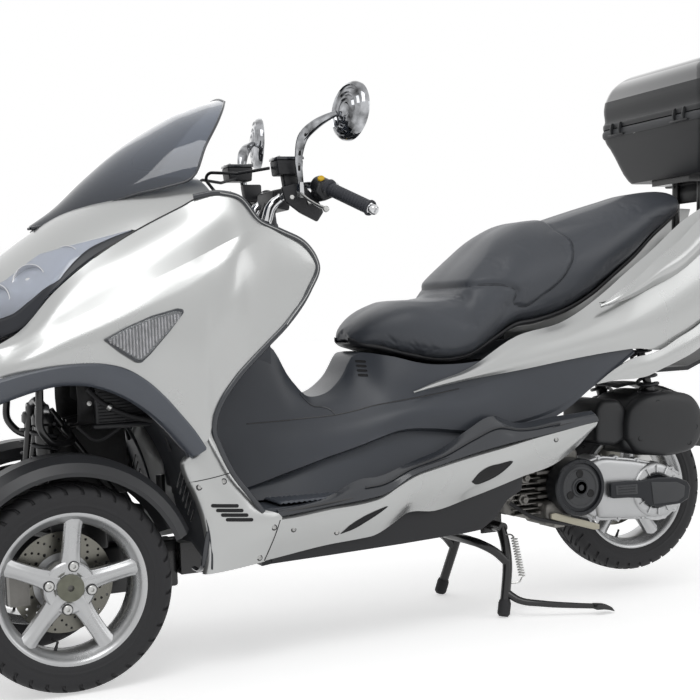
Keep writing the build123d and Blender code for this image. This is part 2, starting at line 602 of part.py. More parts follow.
# seat: x, half width, underside, edge of the top, crown
SEAT = [(-172, 62, 762, 782, 796), (-150, 96, 756, 800, 822), (-110, 126, 746, 818, 848),
        (-37, 165, 722, 836, 868), (68, 190, 702, 838, 871), (125, 194, 708, 848, 882),
        (152, 195, 716, 880, 920), (228, 190, 756, 930, 988), (292, 184, 786, 968, 1036),
        (349, 180, 792, 992, 1062), (466, 176, 822, 1016, 1077), (543, 172, 858, 1040, 1097),
        (623, 166, 910, 1060, 1118), (703, 158, 964, 1082, 1138), (774, 146, 1020, 1102, 1156),
        (843, 128, 1064, 1120, 1163), (884, 108, 1090, 1130, 1160), (902, 84, 1106, 1130, 1150)]
with BuildPart() as seat:
    sections = []
    for x, half_w, under, edge, crown in SEAT:
        with BuildSketch(Plane.YZ.offset(x)) as across:
            with BuildLine():
                Polyline((-half_w, edge), (12 - half_w, under), (half_w - 12, under), (half_w, edge))
                ThreePointArc((half_w, edge), (0, crown), (-half_w, edge))
            make_face()
        sections.append(across.sketch)
    loft(sections, ruled=True)
    # hinge at the seat's nose
    box((SEAT_HINGE_X - 12, -30, SEAT_HINGE_Z), (SEAT_HINGE_X + 8, 30, 770))
    disc(Plane(origin=(SEAT_HINGE_X, -44, SEAT_HINGE_Z), z_dir=(0, 1, 0)), 7, 88)
save(seat.part, "seat")

# ---------------------------------------------------------------- engine and rear suspension

def rounded_prism(points, corner, y_high, depth, edge):
    # side-view outline with rounded corners, carried towards -Y, its outer edge rounded too
    with BuildSketch(Plane.XZ.offset(-y_high)) as shape:
        with BuildLine():
            Polyline(*points, close=True)
        make_face()
        fillet(shape.vertices(), corner)
    with BuildPart() as piece:
        extrude(shape.sketch, amount=depth)
        if edge:
            fillet(piece.faces().sort_by(Axis.Y)[0].edges(), edge)
    return piece.part


with BuildPart() as engine:
    add(rounded_prism([(330, 430), (462, 430), (462, 250), (420, 232), (330, 240)], 14, 96, 192, 0))
    disc(Plane(origin=(222, 0, 372), z_dir=(1, 0, 0)), 58, 112)
    for x in range(232, 322, 15):
        box((x, -70, 314), (x + 7, 70, 442))
    # crankcase bulge and fins behind the fan
    disc(Plane(origin=(446, -90, 333), z_dir=(0, -1, 0)), 70, 62)
    for z in (262, 284, 306, 328, 350, 372, 394):
        box((334, -150, z), (382, -90, z + 8))
    # bracket bar under the transmission
    box((368, -176, 224), (400, -96, 244))
save(engine.part, "engine_block")

FAN_X, FAN_Z = 446.0, 333.0
with BuildPart() as cvt:
    add(rounded_prism([(470, 402), (520, 412), (720, 376), (800, 344), (806, 256), (742, 214), (500, 232),
                       (470, 250)], 22, -100, 78, 16))
    disc(Plane(origin=(707, -170, 288), z_dir=(0, -1, 0)), 76, 14)
    disc(Plane(origin=(707, -184, 288), z_dir=(0, -1, 0)), 44, 10)
    disc(Plane(origin=(REAR_X, -100, REAR_Z), z_dir=(0, 1, 0)), 26, 24)
    disc(Plane(origin=(FAN_X, -60, FAN_Z), z_dir=(0, -1, 0)), 78, 130, mode=Mode.SUBTRACT)
save(cvt.part, "cvt_case")

with BuildPart() as fan:
    disc(Plane(origin=(FAN_X, -154, FAN_Z), z_dir=(0, -1, 0)), 75, 54)
    chamfer(fan.faces().sort_by(Axis.Y)[0].edges(), 8)
    disc(Plane(origin=(FAN_X, -208, FAN_Z), z_dir=(0, -1, 0)), 26, 12)
save(fan.part, "fan_cover")

with BuildPart() as airbox:
    add(rounded_prism([(604, 440), (616, 560), (660, 590), (840, 572), (878, 500), (858, 404), (700, 424)],
                      26, -158, 58, 20))
    # intake duct ahead of it
    add(rounded_prism([(508, 470), (512, 560), (610, 566), (610, 450)], 16, -146, 44, 10))
save(airbox.part, "air_box")

with BuildPart() as exhaust:
    tube([(350, 130, 250), (520, 170, 262), (700, 180, 300)], 20, bend=60)
    disc(Plane(origin=(700, 180, 300), z_dir=(0.93, 0.05, 0.36)), 62, 360)
save(exhaust.part, "exhaust")

with BuildPart() as rear_shocks:
    for side in (-1, 1):
        low, top = Vector(780, side * 118, 400), Vector(700, side * 126, 745)
        up = (top - low).normalized()
        disc(Plane(origin=low, z_dir=up), 26, (top - low).length)
save(rear_shocks.part, "rear_shocks")

# ---------------------------------------------------------------- top case

with BuildPart() as case_base:
    with BuildSketch(Plane.XY.offset(CASE_LOW)) as foot_print:
        with Locations(((CASE_FRONT + CASE_BACK) / 2 + 10, 0)):
            RectangleRounded(330, 300, 50)
    with BuildSketch(Plane.XY.offset(CASE_LOW + 60)) as belly_print:
        with Locations(((CASE_FRONT + CASE_BACK) / 2, 0)):
            RectangleRounded(400, 520, 70)
    with BuildSketch(Plane.XY.offset(CASE_SEAM - 3)) as seam_print:
        with Locations(((CASE_FRONT + CASE_BACK) / 2, 0)):
            RectangleRounded(CASE_BACK - CASE_FRONT, 2 * CASE_HALF_W, 80)
    loft([foot_print.sketch, belly_print.sketch, seam_print.sketch], ruled=True)
    box((CASE_FRONT + 40, -200, CASE_LOW + 30), (CASE_BACK - 40, 200, CASE_SEAM), mode=Mode.SUBTRACT)
    for y in (-165, 150):
        box((CASE_HINGE_X - 5, y - 12, 1344), (CASE_FRONT + 12, y + 27, 1358))
save(case_base.part, "top_case_base")

with BuildPart() as case_lid:
    with BuildSketch(Plane.XY.offset(CASE_SEAM)) as rim_print:
        with Locations(((CASE_FRONT + CASE_BACK) / 2, 0)):
            RectangleRounded(CASE_BACK - CASE_FRONT, 2 * CASE_HALF_W, 80)
    with BuildSketch(Plane.XY.offset(CASE_SEAM + 80)) as mid_print:
        with Locations(((CASE_FRONT + CASE_BACK) / 2 + 4, 0)):
            RectangleRounded(CASE_BACK - CASE_FRONT - 24, 2 * CASE_HALF_W - 24, 78)
    with BuildSketch(Plane.XY.offset(CASE_TOP)) as top_print:
        with Locations(((CASE_FRONT + CASE_BACK) / 2 + 20, 0)):
            RectangleRounded(CASE_BACK - CASE_FRONT - 130, 2 * CASE_HALF_W - 150, 70)
    loft([rim_print.sketch, mid_print.sketch, top_print.sketch], ruled=True)
    box((CASE_FRONT + 70, -180, CASE_SEAM - 5), (CASE_BACK - 60, 180, CASE_TOP - 20), mode=Mode.SUBTRACT)
    for y in (-165, 150):
        disc(Plane(origin=(CASE_HINGE_X, y, CASE_SEAM), z_dir=(0, 1, 0)), 6, 15)
        box((CASE_HINGE_X - 5, y, CASE_SEAM), (CASE_FRONT + 30, y + 15, CASE_SEAM + 14))
save(case_lid.part, "top_case_lid")

with BuildPart() as rack:
    box((932, -90, 1186), (1180, 90, CASE_LOW))
    for side in (-1, 1):
        tube([(990, side * 60, 1030), (1000, side * 60, 1190)], 12)
    box((978, -84, 1014), (1004, 84, 1034))
save(rack.part, "case_rack")

# ---------------------------------------------------------------- centre stand

LEG_Y = 110.0
with BuildPart() as stand:
    # pivot tube
    disc(Plane(origin=(STAND_X, -LEG_Y - 14, STAND_Z), z_dir=(0, 1, 0)), 14, 2 * LEG_Y + 28)
    for side in (-1, 1):
        tube([(STAND_X, side * LEG_Y, STAND_Z), (232, side * 150, 150), (192, side * 180, 16)], 13, bend=40)
        box((164, side * 164, 0), (222, side * 200, 14))
    # cross tube and foot lever
    tube([(226, -154, 146), (150, -110, 200), (150, 110, 200), (226, 154, 146)], 12, bend=36)
    tube([(202, -176, 56), (250, -226, 36), (420, -300, 20)], 8, bend=30)
    box((404, -316, 14), (436, -288, 28))
save(stand.part, "centre_stand")
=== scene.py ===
import math
import bmesh
import bpy
from mathutils import Matrix, Vector
from mathutils.bvhtree import BVHTree


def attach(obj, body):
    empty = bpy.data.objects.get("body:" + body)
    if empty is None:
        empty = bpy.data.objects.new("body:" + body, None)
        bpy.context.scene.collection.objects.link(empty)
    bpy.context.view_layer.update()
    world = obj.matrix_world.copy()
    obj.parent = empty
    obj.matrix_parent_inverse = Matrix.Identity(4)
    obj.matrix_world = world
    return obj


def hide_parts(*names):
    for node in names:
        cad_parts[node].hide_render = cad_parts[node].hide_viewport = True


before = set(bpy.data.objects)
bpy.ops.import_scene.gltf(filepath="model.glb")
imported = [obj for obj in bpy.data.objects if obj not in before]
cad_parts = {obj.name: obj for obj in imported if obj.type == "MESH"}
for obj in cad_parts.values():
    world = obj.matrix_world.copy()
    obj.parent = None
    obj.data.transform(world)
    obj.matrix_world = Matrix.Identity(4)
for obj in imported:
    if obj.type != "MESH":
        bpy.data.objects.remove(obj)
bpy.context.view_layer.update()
scene = bpy.context.scene


# shader helpers

def addNode(tree, kind, feeds=None, **values):
    # a feed is another node's output, or a plain value, for the input that it names
    item = tree.nodes.new(kind)
    for key, value in values.items():
        setattr(item, key, value)
    for key, value in (feeds or {}).items():
        if isinstance(value, bpy.types.NodeSocket):
            tree.links.new(value, item.inputs[key])
        else:
            item.inputs[key].default_value = value
    return item


def shownRay(tree):
    # 1 for the rays that look at the backdrop itself, straight, in a mirror or through glass
    rays = addNode(tree, "ShaderNodeLightPath").outputs
    first = addNode(tree, "ShaderNodeMath", {0: rays["Is Camera Ray"], 1: rays["Is Glossy Ray"]},
                    operation="MAXIMUM").outputs[0]
    return addNode(tree, "ShaderNodeMath", {0: first, 1: rays["Is Transmission Ray"]},
                   operation="MAXIMUM").outputs[0]


surface = {"cloudDetail": 5.0, "cloudLow": 0.3, "cloudHigh": 0.7, "wearFrom": 0.53, "wearTo": 0.62,
           "wearGain": 2.2, "wearLift": 0.05, "smoother": 0.05, "rougher": 0.06, "grainDetail": 3.0,
           "grainDepth": 0.0006}


def finish(name, color, rough=0.5, metal=0.0, coat=0.0, coatRough=0.08, spread=0.06, grain=420.0, bump=0.0,
           patch=6.0, wear=0.0, glass=0.0, ior=1.45, fade=None):
    # colour drifts in soft patches, roughness follows it, and a fine grain lifts the surface; a wide spread,
    # as on the mirror backs, makes the patches a painted reflection
    mat = bpy.data.materials.new(name)
    mat.use_nodes = True
    tree = mat.node_tree
    shader = tree.nodes["Principled BSDF"]
    for key, value in (("Metallic", metal), ("Coat Weight", coat), ("Coat Roughness", coatRough),
                       ("Transmission Weight", glass), ("IOR", ior)):
        shader.inputs[key].default_value = value
    where = addNode(tree, "ShaderNodeTexCoord").outputs["Object"]
    cloud = addNode(tree, "ShaderNodeTexNoise",
                    {"Vector": where, "Scale": patch, "Detail": surface["cloudDetail"]}).outputs["Fac"]
    ramp = addNode(tree, "ShaderNodeValToRGB", {"Fac": cloud})
    stops = ramp.color_ramp.elements
    stops[0].position = surface["cloudLow"]
    stops[1].position = surface["cloudHigh"]
    for stop, gain in zip(stops, (1 - spread, 1 + spread)):
        stop.color = (*[max(0.0, min(1.0, c * gain)) for c in color], 1)
    base = ramp.outputs["Color"]
    if wear:
        # edges rub paler
        edge = addNode(tree, "ShaderNodeNewGeometry").outputs["Pointiness"]
        rubbed = addNode(tree, "ShaderNodeMapRange",
                         {"Value": edge, "From Min": surface["wearFrom"], "From Max": surface["wearTo"],
                          "To Max": wear})
        pale = (*[min(1.0, c * surface["wearGain"] + surface["wearLift"]) for c in color], 1)
        base = addNode(tree, "ShaderNodeMix", {"Factor": rubbed.outputs["Result"], "A": base, "B": pale},
                       data_type="RGBA").outputs["Result"]
    if fade:
        # the colour darkens towards the lower edge of the piece: a painted shade on the lamp glass
        height = addNode(tree, "ShaderNodeSeparateXYZ", {"Vector": where}).outputs["Z"]
        climb = addNode(tree, "ShaderNodeMapRange",
                        {"Value": height, "From Min": fade[0], "From Max": fade[1]})
        base = addNode(tree, "ShaderNodeMix",
                       {"Factor": climb.outputs["Result"], "A": (*fade[2], 1), "B": base},
                       data_type="RGBA").outputs["Result"]
    tree.links.new(base, shader.inputs["Base Color"])
    polish = addNode(tree, "ShaderNodeMapRange",
                     {"Value": cloud, "To Min": max(0.0, rough - surface["smoother"]),
                      "To Max": min(1.0, rough + surface["rougher"])})
    tree.links.new(polish.outputs["Result"], shader.inputs["Roughness"])
    if bump:
        fine = addNode(tree, "ShaderNodeTexNoise",
                       {"Vector": where, "Scale": grain, "Detail": surface["grainDetail"]})
        lift = addNode(tree, "ShaderNodeBump",
                       {"Strength": bump, "Distance": surface["grainDepth"], "Height": fine.outputs["Fac"]})
        tree.links.new(lift.outputs["Normal"], shader.inputs["Normal"])
    return mat

mats = {
    "silver": finish("silverPaint", (0.465, 0.472, 0.468), rough=0.28, metal=0.72, coat=0.8, coatRough=0.06,
                     spread=0.02, patch=3),
    "archTrim": finish("archTrim", (0.085, 0.095, 0.115), rough=0.34, coat=0.2, spread=0.06, grain=1500,
                       bump=0.08),
    # near black for the lamp trays, and for the painted shade laid over the lamp lens
    "lampDark": finish("lampDark", (0.008, 0.01, 0.016), rough=0.3, spread=0.3, patch=9),
    "flute": finish("lampFlutes", (0.42, 0.45, 0.5), rough=0.18, metal=0.9, spread=0.1),
    "reflector": finish("reflector", (0.34, 0.33, 0.34), rough=0.22, metal=0.8, spread=0.3, patch=60),
    # the darker lower edge of the lamp glass is a painted shade
    "lampGlass": finish("lampGlass", (0.72, 0.77, 0.88), rough=0.02, glass=0.5, coat=1.0, coatRough=0.02,
                        spread=0.03, ior=1.3, fade=(0.79, 0.93, (0.02, 0.024, 0.034))),
    "fanBlack": finish("fanBlack", (0.015, 0.0165, 0.02), rough=0.3, metal=0.3, spread=0.1, grain=1100,
                       bump=0.15, wear=0.2),
    "grime": finish("grimyPlastic", (0.012, 0.012, 0.013), rough=0.6, spread=0.5, grain=160, bump=0.9,
                    patch=24),
    # near black: a painted shade for the depth of slots, holes and pockets, which are drawn shallow
    "hollow": finish("hollow", (0.006, 0.006, 0.007), rough=0.7, spread=0.1, grain=700, bump=0.1),
    # the mirror backs' dark and pale patches are a painted reflection
    "mirrorBack": finish("mirrorBack", (0.26, 0.265, 0.275), rough=0.07, metal=1.0, spread=0.88, patch=30),
    "bronze": finish("hubBronze", (0.15, 0.152, 0.12), rough=0.34, metal=0.6, spread=0.15, patch=40),
    "casePale": finish("casePale", (0.05, 0.052, 0.056), rough=0.5, spread=0.08, grain=1100, bump=0.25),
    "cream": finish("creamPaint", (0.5, 0.47, 0.37), rough=0.4, metal=0.2, spread=0.1, grain=700, bump=0.1,
                    wear=0.1),
    "dark": finish("darkTrim", (0.05, 0.056, 0.068), rough=0.36, spread=0.08, grain=1500, bump=0.22,
                   wear=0.12),
    "darkGloss": finish("darkGloss", (0.03, 0.034, 0.042), rough=0.2, coat=0.5, spread=0.05, grain=900,
                        bump=0.04),
    "liner": finish("linerPlastic", (0.04, 0.043, 0.05), rough=0.55, spread=0.1, grain=1300, bump=0.3,
                    wear=0.1),
    "black": finish("blackPlastic", (0.011, 0.0115, 0.014), rough=0.42, spread=0.1, grain=1200, bump=0.25,
                    wear=0.08),
    "fender": finish("fenderPlastic", (0.03, 0.031, 0.034), rough=0.38, spread=0.08, grain=1400, bump=0.15),
    "frame": finish("framePaint", (0.011, 0.011, 0.012), rough=0.28, coat=0.3, spread=0.08, grain=800,
                    bump=0.1, wear=0.1),
    "rubber": finish("tyreRubber", (0.022, 0.022, 0.024), rough=0.66, spread=0.12, grain=700, bump=0.35,
                     wear=0.2),
    "grip": finish("gripRubber", (0.03, 0.032, 0.04), rough=0.6, spread=0.1, grain=900, bump=0.3),
    "vinyl": finish("seatVinyl", (0.062, 0.068, 0.08), rough=0.4, spread=0.07, grain=950, bump=0.3),
    "vinylDark": finish("seatThread", (0.018, 0.02, 0.024), rough=0.6, spread=0.1, grain=1200, bump=0.2),
    "mirror": finish("mirrorGlass", (0.9, 0.9, 0.91), rough=0.02, metal=1.0, spread=0.01),
    "wheel": finish("wheelSilver", (0.46, 0.465, 0.47), rough=0.27, metal=0.75, coat=0.3, spread=0.03),
    "alloy": finish("castAlloy", (0.44, 0.445, 0.45), rough=0.36, metal=0.85, spread=0.07, wear=0.15),
    "greasy": finish("greasyAlloy", (0.16, 0.155, 0.145), rough=0.5, metal=0.6, spread=0.35, grain=500,
                     bump=0.4, patch=30, wear=0.5),
    "chrome": finish("chrome", (0.6, 0.605, 0.615), rough=0.09, metal=1.0, spread=0.02, grain=300, bump=0.01),
    "steel": finish("brushedSteel", (0.5, 0.5, 0.49), rough=0.32, metal=1.0, spread=0.08),
    "case": finish("caseBlack", (0.02, 0.021, 0.023), rough=0.42, spread=0.08, grain=1100, bump=0.28,
                   wear=0.06),
    "caseGloss": finish("caseGloss", (0.012, 0.013, 0.017), rough=0.07, coat=1.0, coatRough=0.03,
                        spread=0.05),
    "lens": finish("clearLens", (0.9, 0.93, 0.95), rough=0.03, glass=0.9, coat=0.8, spread=0.01, ior=1.3),
    # the screen's colour is darker towards its lower edge
    "smoke": finish("smokedScreen", (0.2, 0.23, 0.29), rough=0.05, glass=0.4, coat=1.0, coatRough=0.03,
                    spread=0.05, ior=1.3, fade=(1.12, 1.38, (0.02, 0.028, 0.045))),
    "red": finish("redLens", (0.2, 0.004, 0.006), rough=0.1, coat=0.8, spread=0.05),
    "yellow": finish("yellowButton", (0.8, 0.5, 0.02), rough=0.35, spread=0.05),
    "disc": finish("brakeDisc", (0.17, 0.166, 0.146), rough=0.28, metal=1.0, spread=0.1),
    "label": finish("blankLabel", (0.015, 0.015, 0.017), rough=0.25, coat=0.4, spread=0.05),
}
print("materials made")

cadFinish = {
    "frame": "frame seat_rails front_carrier suspension_arms tie_rod steering_shaft centre_stand case_rack",
    "dark": "leg_shield tunnel side_panels footboards instrument_cowl",
    "liner": "wheel_wells arch_trims",
    "black": "front_valance belly_pan rear_mudguard storage_bin air_box hand_controls control_cables",
    "fender": "front_fender_left front_fender_right",
    "silver": "nose_fairing side_fairings lower_shields side_skirts rear_body grab_rails passenger_steps",
    "lens": "headlamps front_indicators",
    "smoke": "windscreen",
    "red": "tail_lamp",
    "alloy": "cvt_case",
    "greasy": "engine_block knuckle_left knuckle_right",
    "chrome": "mirrors handlebar front_shocks rear_shocks",
    "steel": "exhaust",
    "wheel": "front_rim_left front_rim_right rear_rim",
    "rubber": "front_tyre_left front_tyre_right rear_tyre",
    "vinyl": "seat",
    "case": "top_case_base top_case_lid fan_cover",
}
for key, names in cadFinish.items():
    for name in names.split():
        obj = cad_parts.get(name)
        if obj:
            obj.data.materials.clear()
            obj.data.materials.append(mats[key])
print("CAD nodes painted")

# camera, floor and light

view = {"place": (-1.675, -3.459, 0.861), "yaw": 23.78, "pitch": 1.98, "roll": -2.58, "lens": 71.586,
        "sensor": 36.0, "shiftX": 0.00107, "shiftY": 0.00651}
yaw, pitch, roll = (math.radians(view[k]) for k in ("yaw", "pitch", "roll"))
forward = Vector((math.sin(yaw) * math.cos(pitch), math.cos(yaw) * math.cos(pitch), -math.sin(pitch)))
level = Vector((math.cos(yaw), -math.sin(yaw), 0))
upright = level.cross(forward)
right = math.cos(roll) * level + math.sin(roll) * upright
up = math.cos(roll) * upright - math.sin(roll) * level
camData = bpy.data.cameras.new("camera")
camData.lens = view["lens"]
camData.sensor_width = view["sensor"]
camData.shift_x = view["shiftX"]
camData.shift_y = view["shiftY"]
camera = bpy.data.objects.new("camera", camData)
scene.collection.objects.link(camera)
pose = Matrix((right, up, -forward)).transposed().to_4x4()
pose.translation = Vector(view["place"])
camera.matrix_world = pose
scene.camera = camera

studio = {"backdrop": 1.0, "world": 0.5, "floor": (0.88, 0.88, 0.88), "paper": 0.5, "reach": 30, "key": 46.0,
          "fill": 14.0}
floorMesh = bpy.data.meshes.new("floor")
floorMesh.from_pydata([(x * studio["reach"], y * studio["reach"], 0)
                       for x, y in ((-1, -1), (1, -1), (1, 1), (-1, 1))], [], [(0, 1, 2, 3)])
floor = bpy.data.objects.new("floor", floorMesh)
floorPaint = finish("floorPaint", studio["floor"], rough=0.75, spread=0.005, patch=0.4)
paper = floorPaint.node_tree
glow = paper.nodes["Principled BSDF"]
glow.inputs["Emission Color"].default_value = (1, 1, 1, 1)
gain = addNode(paper, "ShaderNodeMath", {0: shownRay(paper), 1: studio["paper"]}, operation="MULTIPLY")
paper.links.new(gain.outputs[0], glow.inputs["Emission Strength"])
floorMesh.materials.append(floorPaint)
scene.collection.objects.link(floor)
world = bpy.data.worlds.new("studio")
world.use_nodes = True
sky = world.node_tree
plain = sky.nodes["Background"]
plain.inputs["Color"].default_value = (1, 1, 1, 1)
bright = addNode(sky, "ShaderNodeMapRange",
                 {"Value": shownRay(sky), "To Min": studio["world"], "To Max": studio["backdrop"]})
sky.links.new(bright.outputs["Result"], plain.inputs["Strength"])
scene.world = world
for name, spot, aim, size, power in (
        ("key", (-1.6, -2.2, 4.2), (-0.1, 0, 0.6), 2.2, studio["key"]),
        ("fill", (3.0, -2.6, 2.2), (0, 0, 0.6), 2.0, studio["fill"]),
        ("back", (0.5, 3.4, 3.0), (0, 0, 0.6), 3.0, studio["fill"])):
    lamp = bpy.data.lights.new(name, "AREA")
    lamp.energy = power
    lamp.size = size
    item = bpy.data.objects.new(name, lamp)
    item.location = spot
    item.rotation_euler = (Vector(aim) - Vector(spot)).to_track_quat("-Z", "Y").to_euler()
    scene.collection.objects.link(item)
scene.view_settings.view_transform = "Standard"
print("camera, floor and light set")

# mesh helpers: every size is in millimetres and becomes metres in the mesh

def flow(points, steps):
    # smooth line through the points, evenly cut between each pair
    out = []
    last = len(points) - 1
    for i in range(last):
        b, c = points[i], points[i + 1]
        a = points[i - 1] if i else tuple(2 * u - v for u, v in zip(b, c))
        d = points[i + 2] if i + 2 <= last else tuple(2 * v - u for u, v in zip(b, c))
        ab, bc, cd = (max(1e-6, math.dist(p, q)) for p, q in ((a, b), (b, c), (c, d)))
        m1 = [((q - p) / ab + (s - q) / bc - (s - p) / (ab + bc)) * bc for p, q, s in zip(a, b, c)]
        m2 = [((s - q) / bc + (t - s) / cd - (t - q) / (bc + cd)) * bc for q, s, t in zip(b, c, d)]
        for k in range(steps):
            t = k / steps
            h = (2 * t ** 3 - 3 * t * t + 1, t ** 3 - 2 * t * t + t, -2 * t ** 3 + 3 * t * t, t ** 3 - t * t)
            out.append(tuple(h[0] * p + h[1] * g + h[2] * q + h[3] * e for p, g, q, e in zip(b, m1, c, m2)))
    out.append(tuple(points[-1]))
    return out


def along(points, x):
    # the value at x on a line of (x, value) points
    for (a, p), (b, q) in zip(points, points[1:]):
        if x <= b:
            return p + (q - p) * (x - a) / (b - a)
    return points[-1][1]


def spread(a, b, n):
    # n equal steps from a to b
    return [a + (b - a) * k / n for k in range(n + 1)]


# crease angles in degrees, by the way a mesh is made
crease = {"edge": 40, "bar": 50, "block": 35, "disk": 35, "slot": 40, "cut": 20, "case": 50, "spoke": 42,
          "tyre": 38}


def creased(mesh, kind):
    # edges sharper than the angle stay crisp
    mesh.set_sharp_from_angle(angle=math.radians(crease[kind]))
    return mesh


def between(low, top, t):
    # the point at this share of the way up
    return tuple(a + (b - a) * t for a, b in zip(low, top))


def place(name, mesh, mat, body="root", nodes=()):
    # a piece of the vehicle, on the body that carries it, instead of these nodes of the CAD
    mesh.name = name
    item = bpy.data.objects.new(name, mesh)
    scene.collection.objects.link(item)
    mesh.materials.append(mats[mat])
    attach(item, body)
    if nodes:
        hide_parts(*nodes)
    return item


def baked(made, kind=None):
    # a finished mesh from a bmesh, smooth with its kind of crease
    mesh = bpy.data.meshes.new("part")
    made.to_mesh(mesh)
    made.free()
    if kind:
        mesh.shade_smooth()
        creased(mesh, kind)
    return mesh


def welded(mesh, reach):
    # vertices closer than the reach become one
    made = bmesh.new()
    made.from_mesh(mesh)
    bmesh.ops.remove_doubles(made, verts=made.verts, dist=reach)
    made.to_mesh(mesh)
    made.free()
    return mesh


def evaluated(item):
    # a plain mesh of the object with its modifiers applied
    bpy.context.view_layer.update()
    return bpy.data.meshes.new_from_object(item.evaluated_get(bpy.context.evaluated_depsgraph_get()))


def join(meshes):
    # the parts are used up by the mesh that they make
    made = bmesh.new()
    for mesh in meshes:
        made.from_mesh(mesh)
        bpy.data.meshes.remove(mesh)
    return baked(made)


def move(mesh, matrix):
    # a mirroring matrix also turns the faces the right way round again
    mesh.transform(matrix)
    if matrix.determinant() < 0:
        mesh.flip_normals()
    return mesh


def turned(mesh, degrees):
    # round the part's own axis
    return move(mesh, Matrix.Rotation(math.radians(degrees), 4, "Z"))


def twin(mesh):
    # a mirrored copy across the centre line
    return move(mesh.copy(), Matrix.Scale(-1, 4, (0, 1, 0)))


def merge(name, parts, mat, body="root", nodes=()):
    # the parts as one piece
    return place(name, join(parts), mat, body, nodes)


def pair(name, parts, mat, body="root", nodes=()):
    # the parts and their twins as one piece
    return merge(name, parts + [twin(m) for m in parts], mat, body, nodes)


def onto(centre, normal, roll=0.0):
    # matrix that puts a unit made round the Z axis onto a surface point, Z along the normal
    turn = Vector(normal).to_track_quat("Z", "Y").to_matrix().to_4x4()
    return Matrix.Translation(Vector(centre) / 1000) @ turn @ Matrix.Rotation(math.radians(roll), 4, "Z")


def gridMesh(grid, mirror=False, loop=False, turn=False, sharp=()):
    # rows of points as one surface, and its twin if mirrored; sharp lists the creased columns
    verts, faces, edges = [], [], set()
    wide = len(grid[0])
    for way in ((1, -1) if mirror else (1,)):
        start = len(verts)
        verts += [(x / 1000, way * y / 1000, z / 1000) for row in grid for x, y, z in row]
        for i in range(len(grid) - (0 if loop else 1)):
            here, after = start + i * wide, start + (i + 1) % len(grid) * wide
            for j in range(wide - 1):
                face = (here + j, here + j + 1, after + j + 1, after + j)
                faces.append(face if (way > 0) != turn else face[::-1])
                if j in sharp:
                    edges.add(frozenset((here + j, after + j)))
    mesh = bpy.data.meshes.new("part")
    mesh.from_pydata(verts, [], faces)
    mesh.shade_smooth()
    if edges:
        flag = mesh.attributes.new("sharp_edge", "BOOLEAN", "EDGE")
        flag.data.foreach_set("value", [frozenset(e.vertices) in edges for e in mesh.edges])
    return mesh


def dress(item, thick=0.0, bevel=0.0):
    # thickness goes inwards from the surface, and the rim's edges are rounded
    if thick:
        shell = item.modifiers.new("thickness", "SOLIDIFY")
        shell.thickness = thick
        shell.offset = -1
    if bevel:
        edge = item.modifiers.new("edges", "BEVEL")
        edge.width = bevel
        edge.segments = 2
        edge.limit_method = "ANGLE"
        edge.angle_limit = math.radians(crease["edge"])
        edge.harden_normals = True
    return item


def sheet(name, grid, mat, thick, bevel=0.0, body="root", nodes=(), **way):
    # a grid as a panel with thickness
    return dress(place(name, gridMesh(grid, **way), mat, body, nodes), thick, bevel)


def panel(name, table, mat, nodes=(), thick=0.005, corners=(), along=6, across=4):
    # a row of the table is x, then (y, z) points across the panel; corners are its creased lines
    rows = [[(row[0], y, z) for y, z in row[1:]] for row in table]
    lines = [flow([row[k] for row in rows], along) for k in range(len(rows[0]))]
    stops = [0, *corners, len(lines) - 1]
    grid = []
    for station in zip(*lines):
        cut = []
        for a, b in zip(stops, stops[1:]):
            cut += flow(station[a:b + 1], across)[:-1]
        grid.append(cut + [station[-1]])
    return sheet(name, grid, mat, thick, 0.0012, nodes=nodes, mirror=True,
                 sharp=[c * across for c in corners])


def arcs(table, steps, angles):
    # bow-shaped sections: x, half width, edge height, crown height; angles gives each section's cuts
    grid = []
    for x, w, e, c in flow(table, steps):
        h = c - e
        r = (w * w + h * h) / (2 * h)
        limit = math.asin(min(1.0, w / r))
        grid.append([(x, r * math.sin(t), c - r + r * math.cos(t)) for t in angles(x, r, c - r, limit)])
    return grid


def tube(name, points, radius, mat, body="root", nodes=(), along=6, flat=1.0, mirror=False, sides=10):
    # round or flattened bar along a smooth line; the radius may depend on the share of the way
    paths = [flow(points, along)]
    if mirror:
        paths.append([(x, -y, z) for x, y, z in paths[0]])
    verts, faces = [], []
    for path in paths:
        line = [Vector(p) / 1000 for p in path]
        last = len(line) - 1
        start = len(verts)
        side = Vector((0, 1, 0)).cross(line[1] - line[0])
        if side.length < 1e-6:
            side = Vector((1, 0, 0))
        for i, p in enumerate(line):
            run = (line[min(i + 1, last)] - line[max(i - 1, 0)]).normalized()
            side = (side - run * side.dot(run)).normalized()
            other = run.cross(side)
            size = radius(i / last) if callable(radius) else radius
            for k in range(sides):
                t = 2 * math.pi * k / sides
                verts.append(p + (side * math.cos(t) + other * math.sin(t) * flat) * size / 1000)
        for here in range(start, start + last * sides, sides):
            for k in range(sides):
                n = (k + 1) % sides
                faces.append((here + k, here + n, here + sides + n, here + sides + k))
        faces.append(tuple(start + k for k in reversed(range(sides))))
        faces.append(tuple(start + last * sides + k for k in range(sides)))
    mesh = bpy.data.meshes.new(name)
    mesh.from_pydata(verts, [], faces)
    mesh.shade_smooth()
    return place(name, creased(mesh, "bar"), mat, body, nodes)


def coilLine(low, top, radius, turns, per=14):
    # a coil spring's centre line
    a, b = Vector(low), Vector(top)
    rise = (b - a).normalized()
    side = rise.orthogonal().normalized()
    other = rise.cross(side)
    out = []
    for k in range(turns * per + 1):
        t = 2 * math.pi * k / per
        out.append(tuple(a + (b - a) * (k / (turns * per))
                         + (side * math.cos(t) + other * math.sin(t)) * radius))
    return out


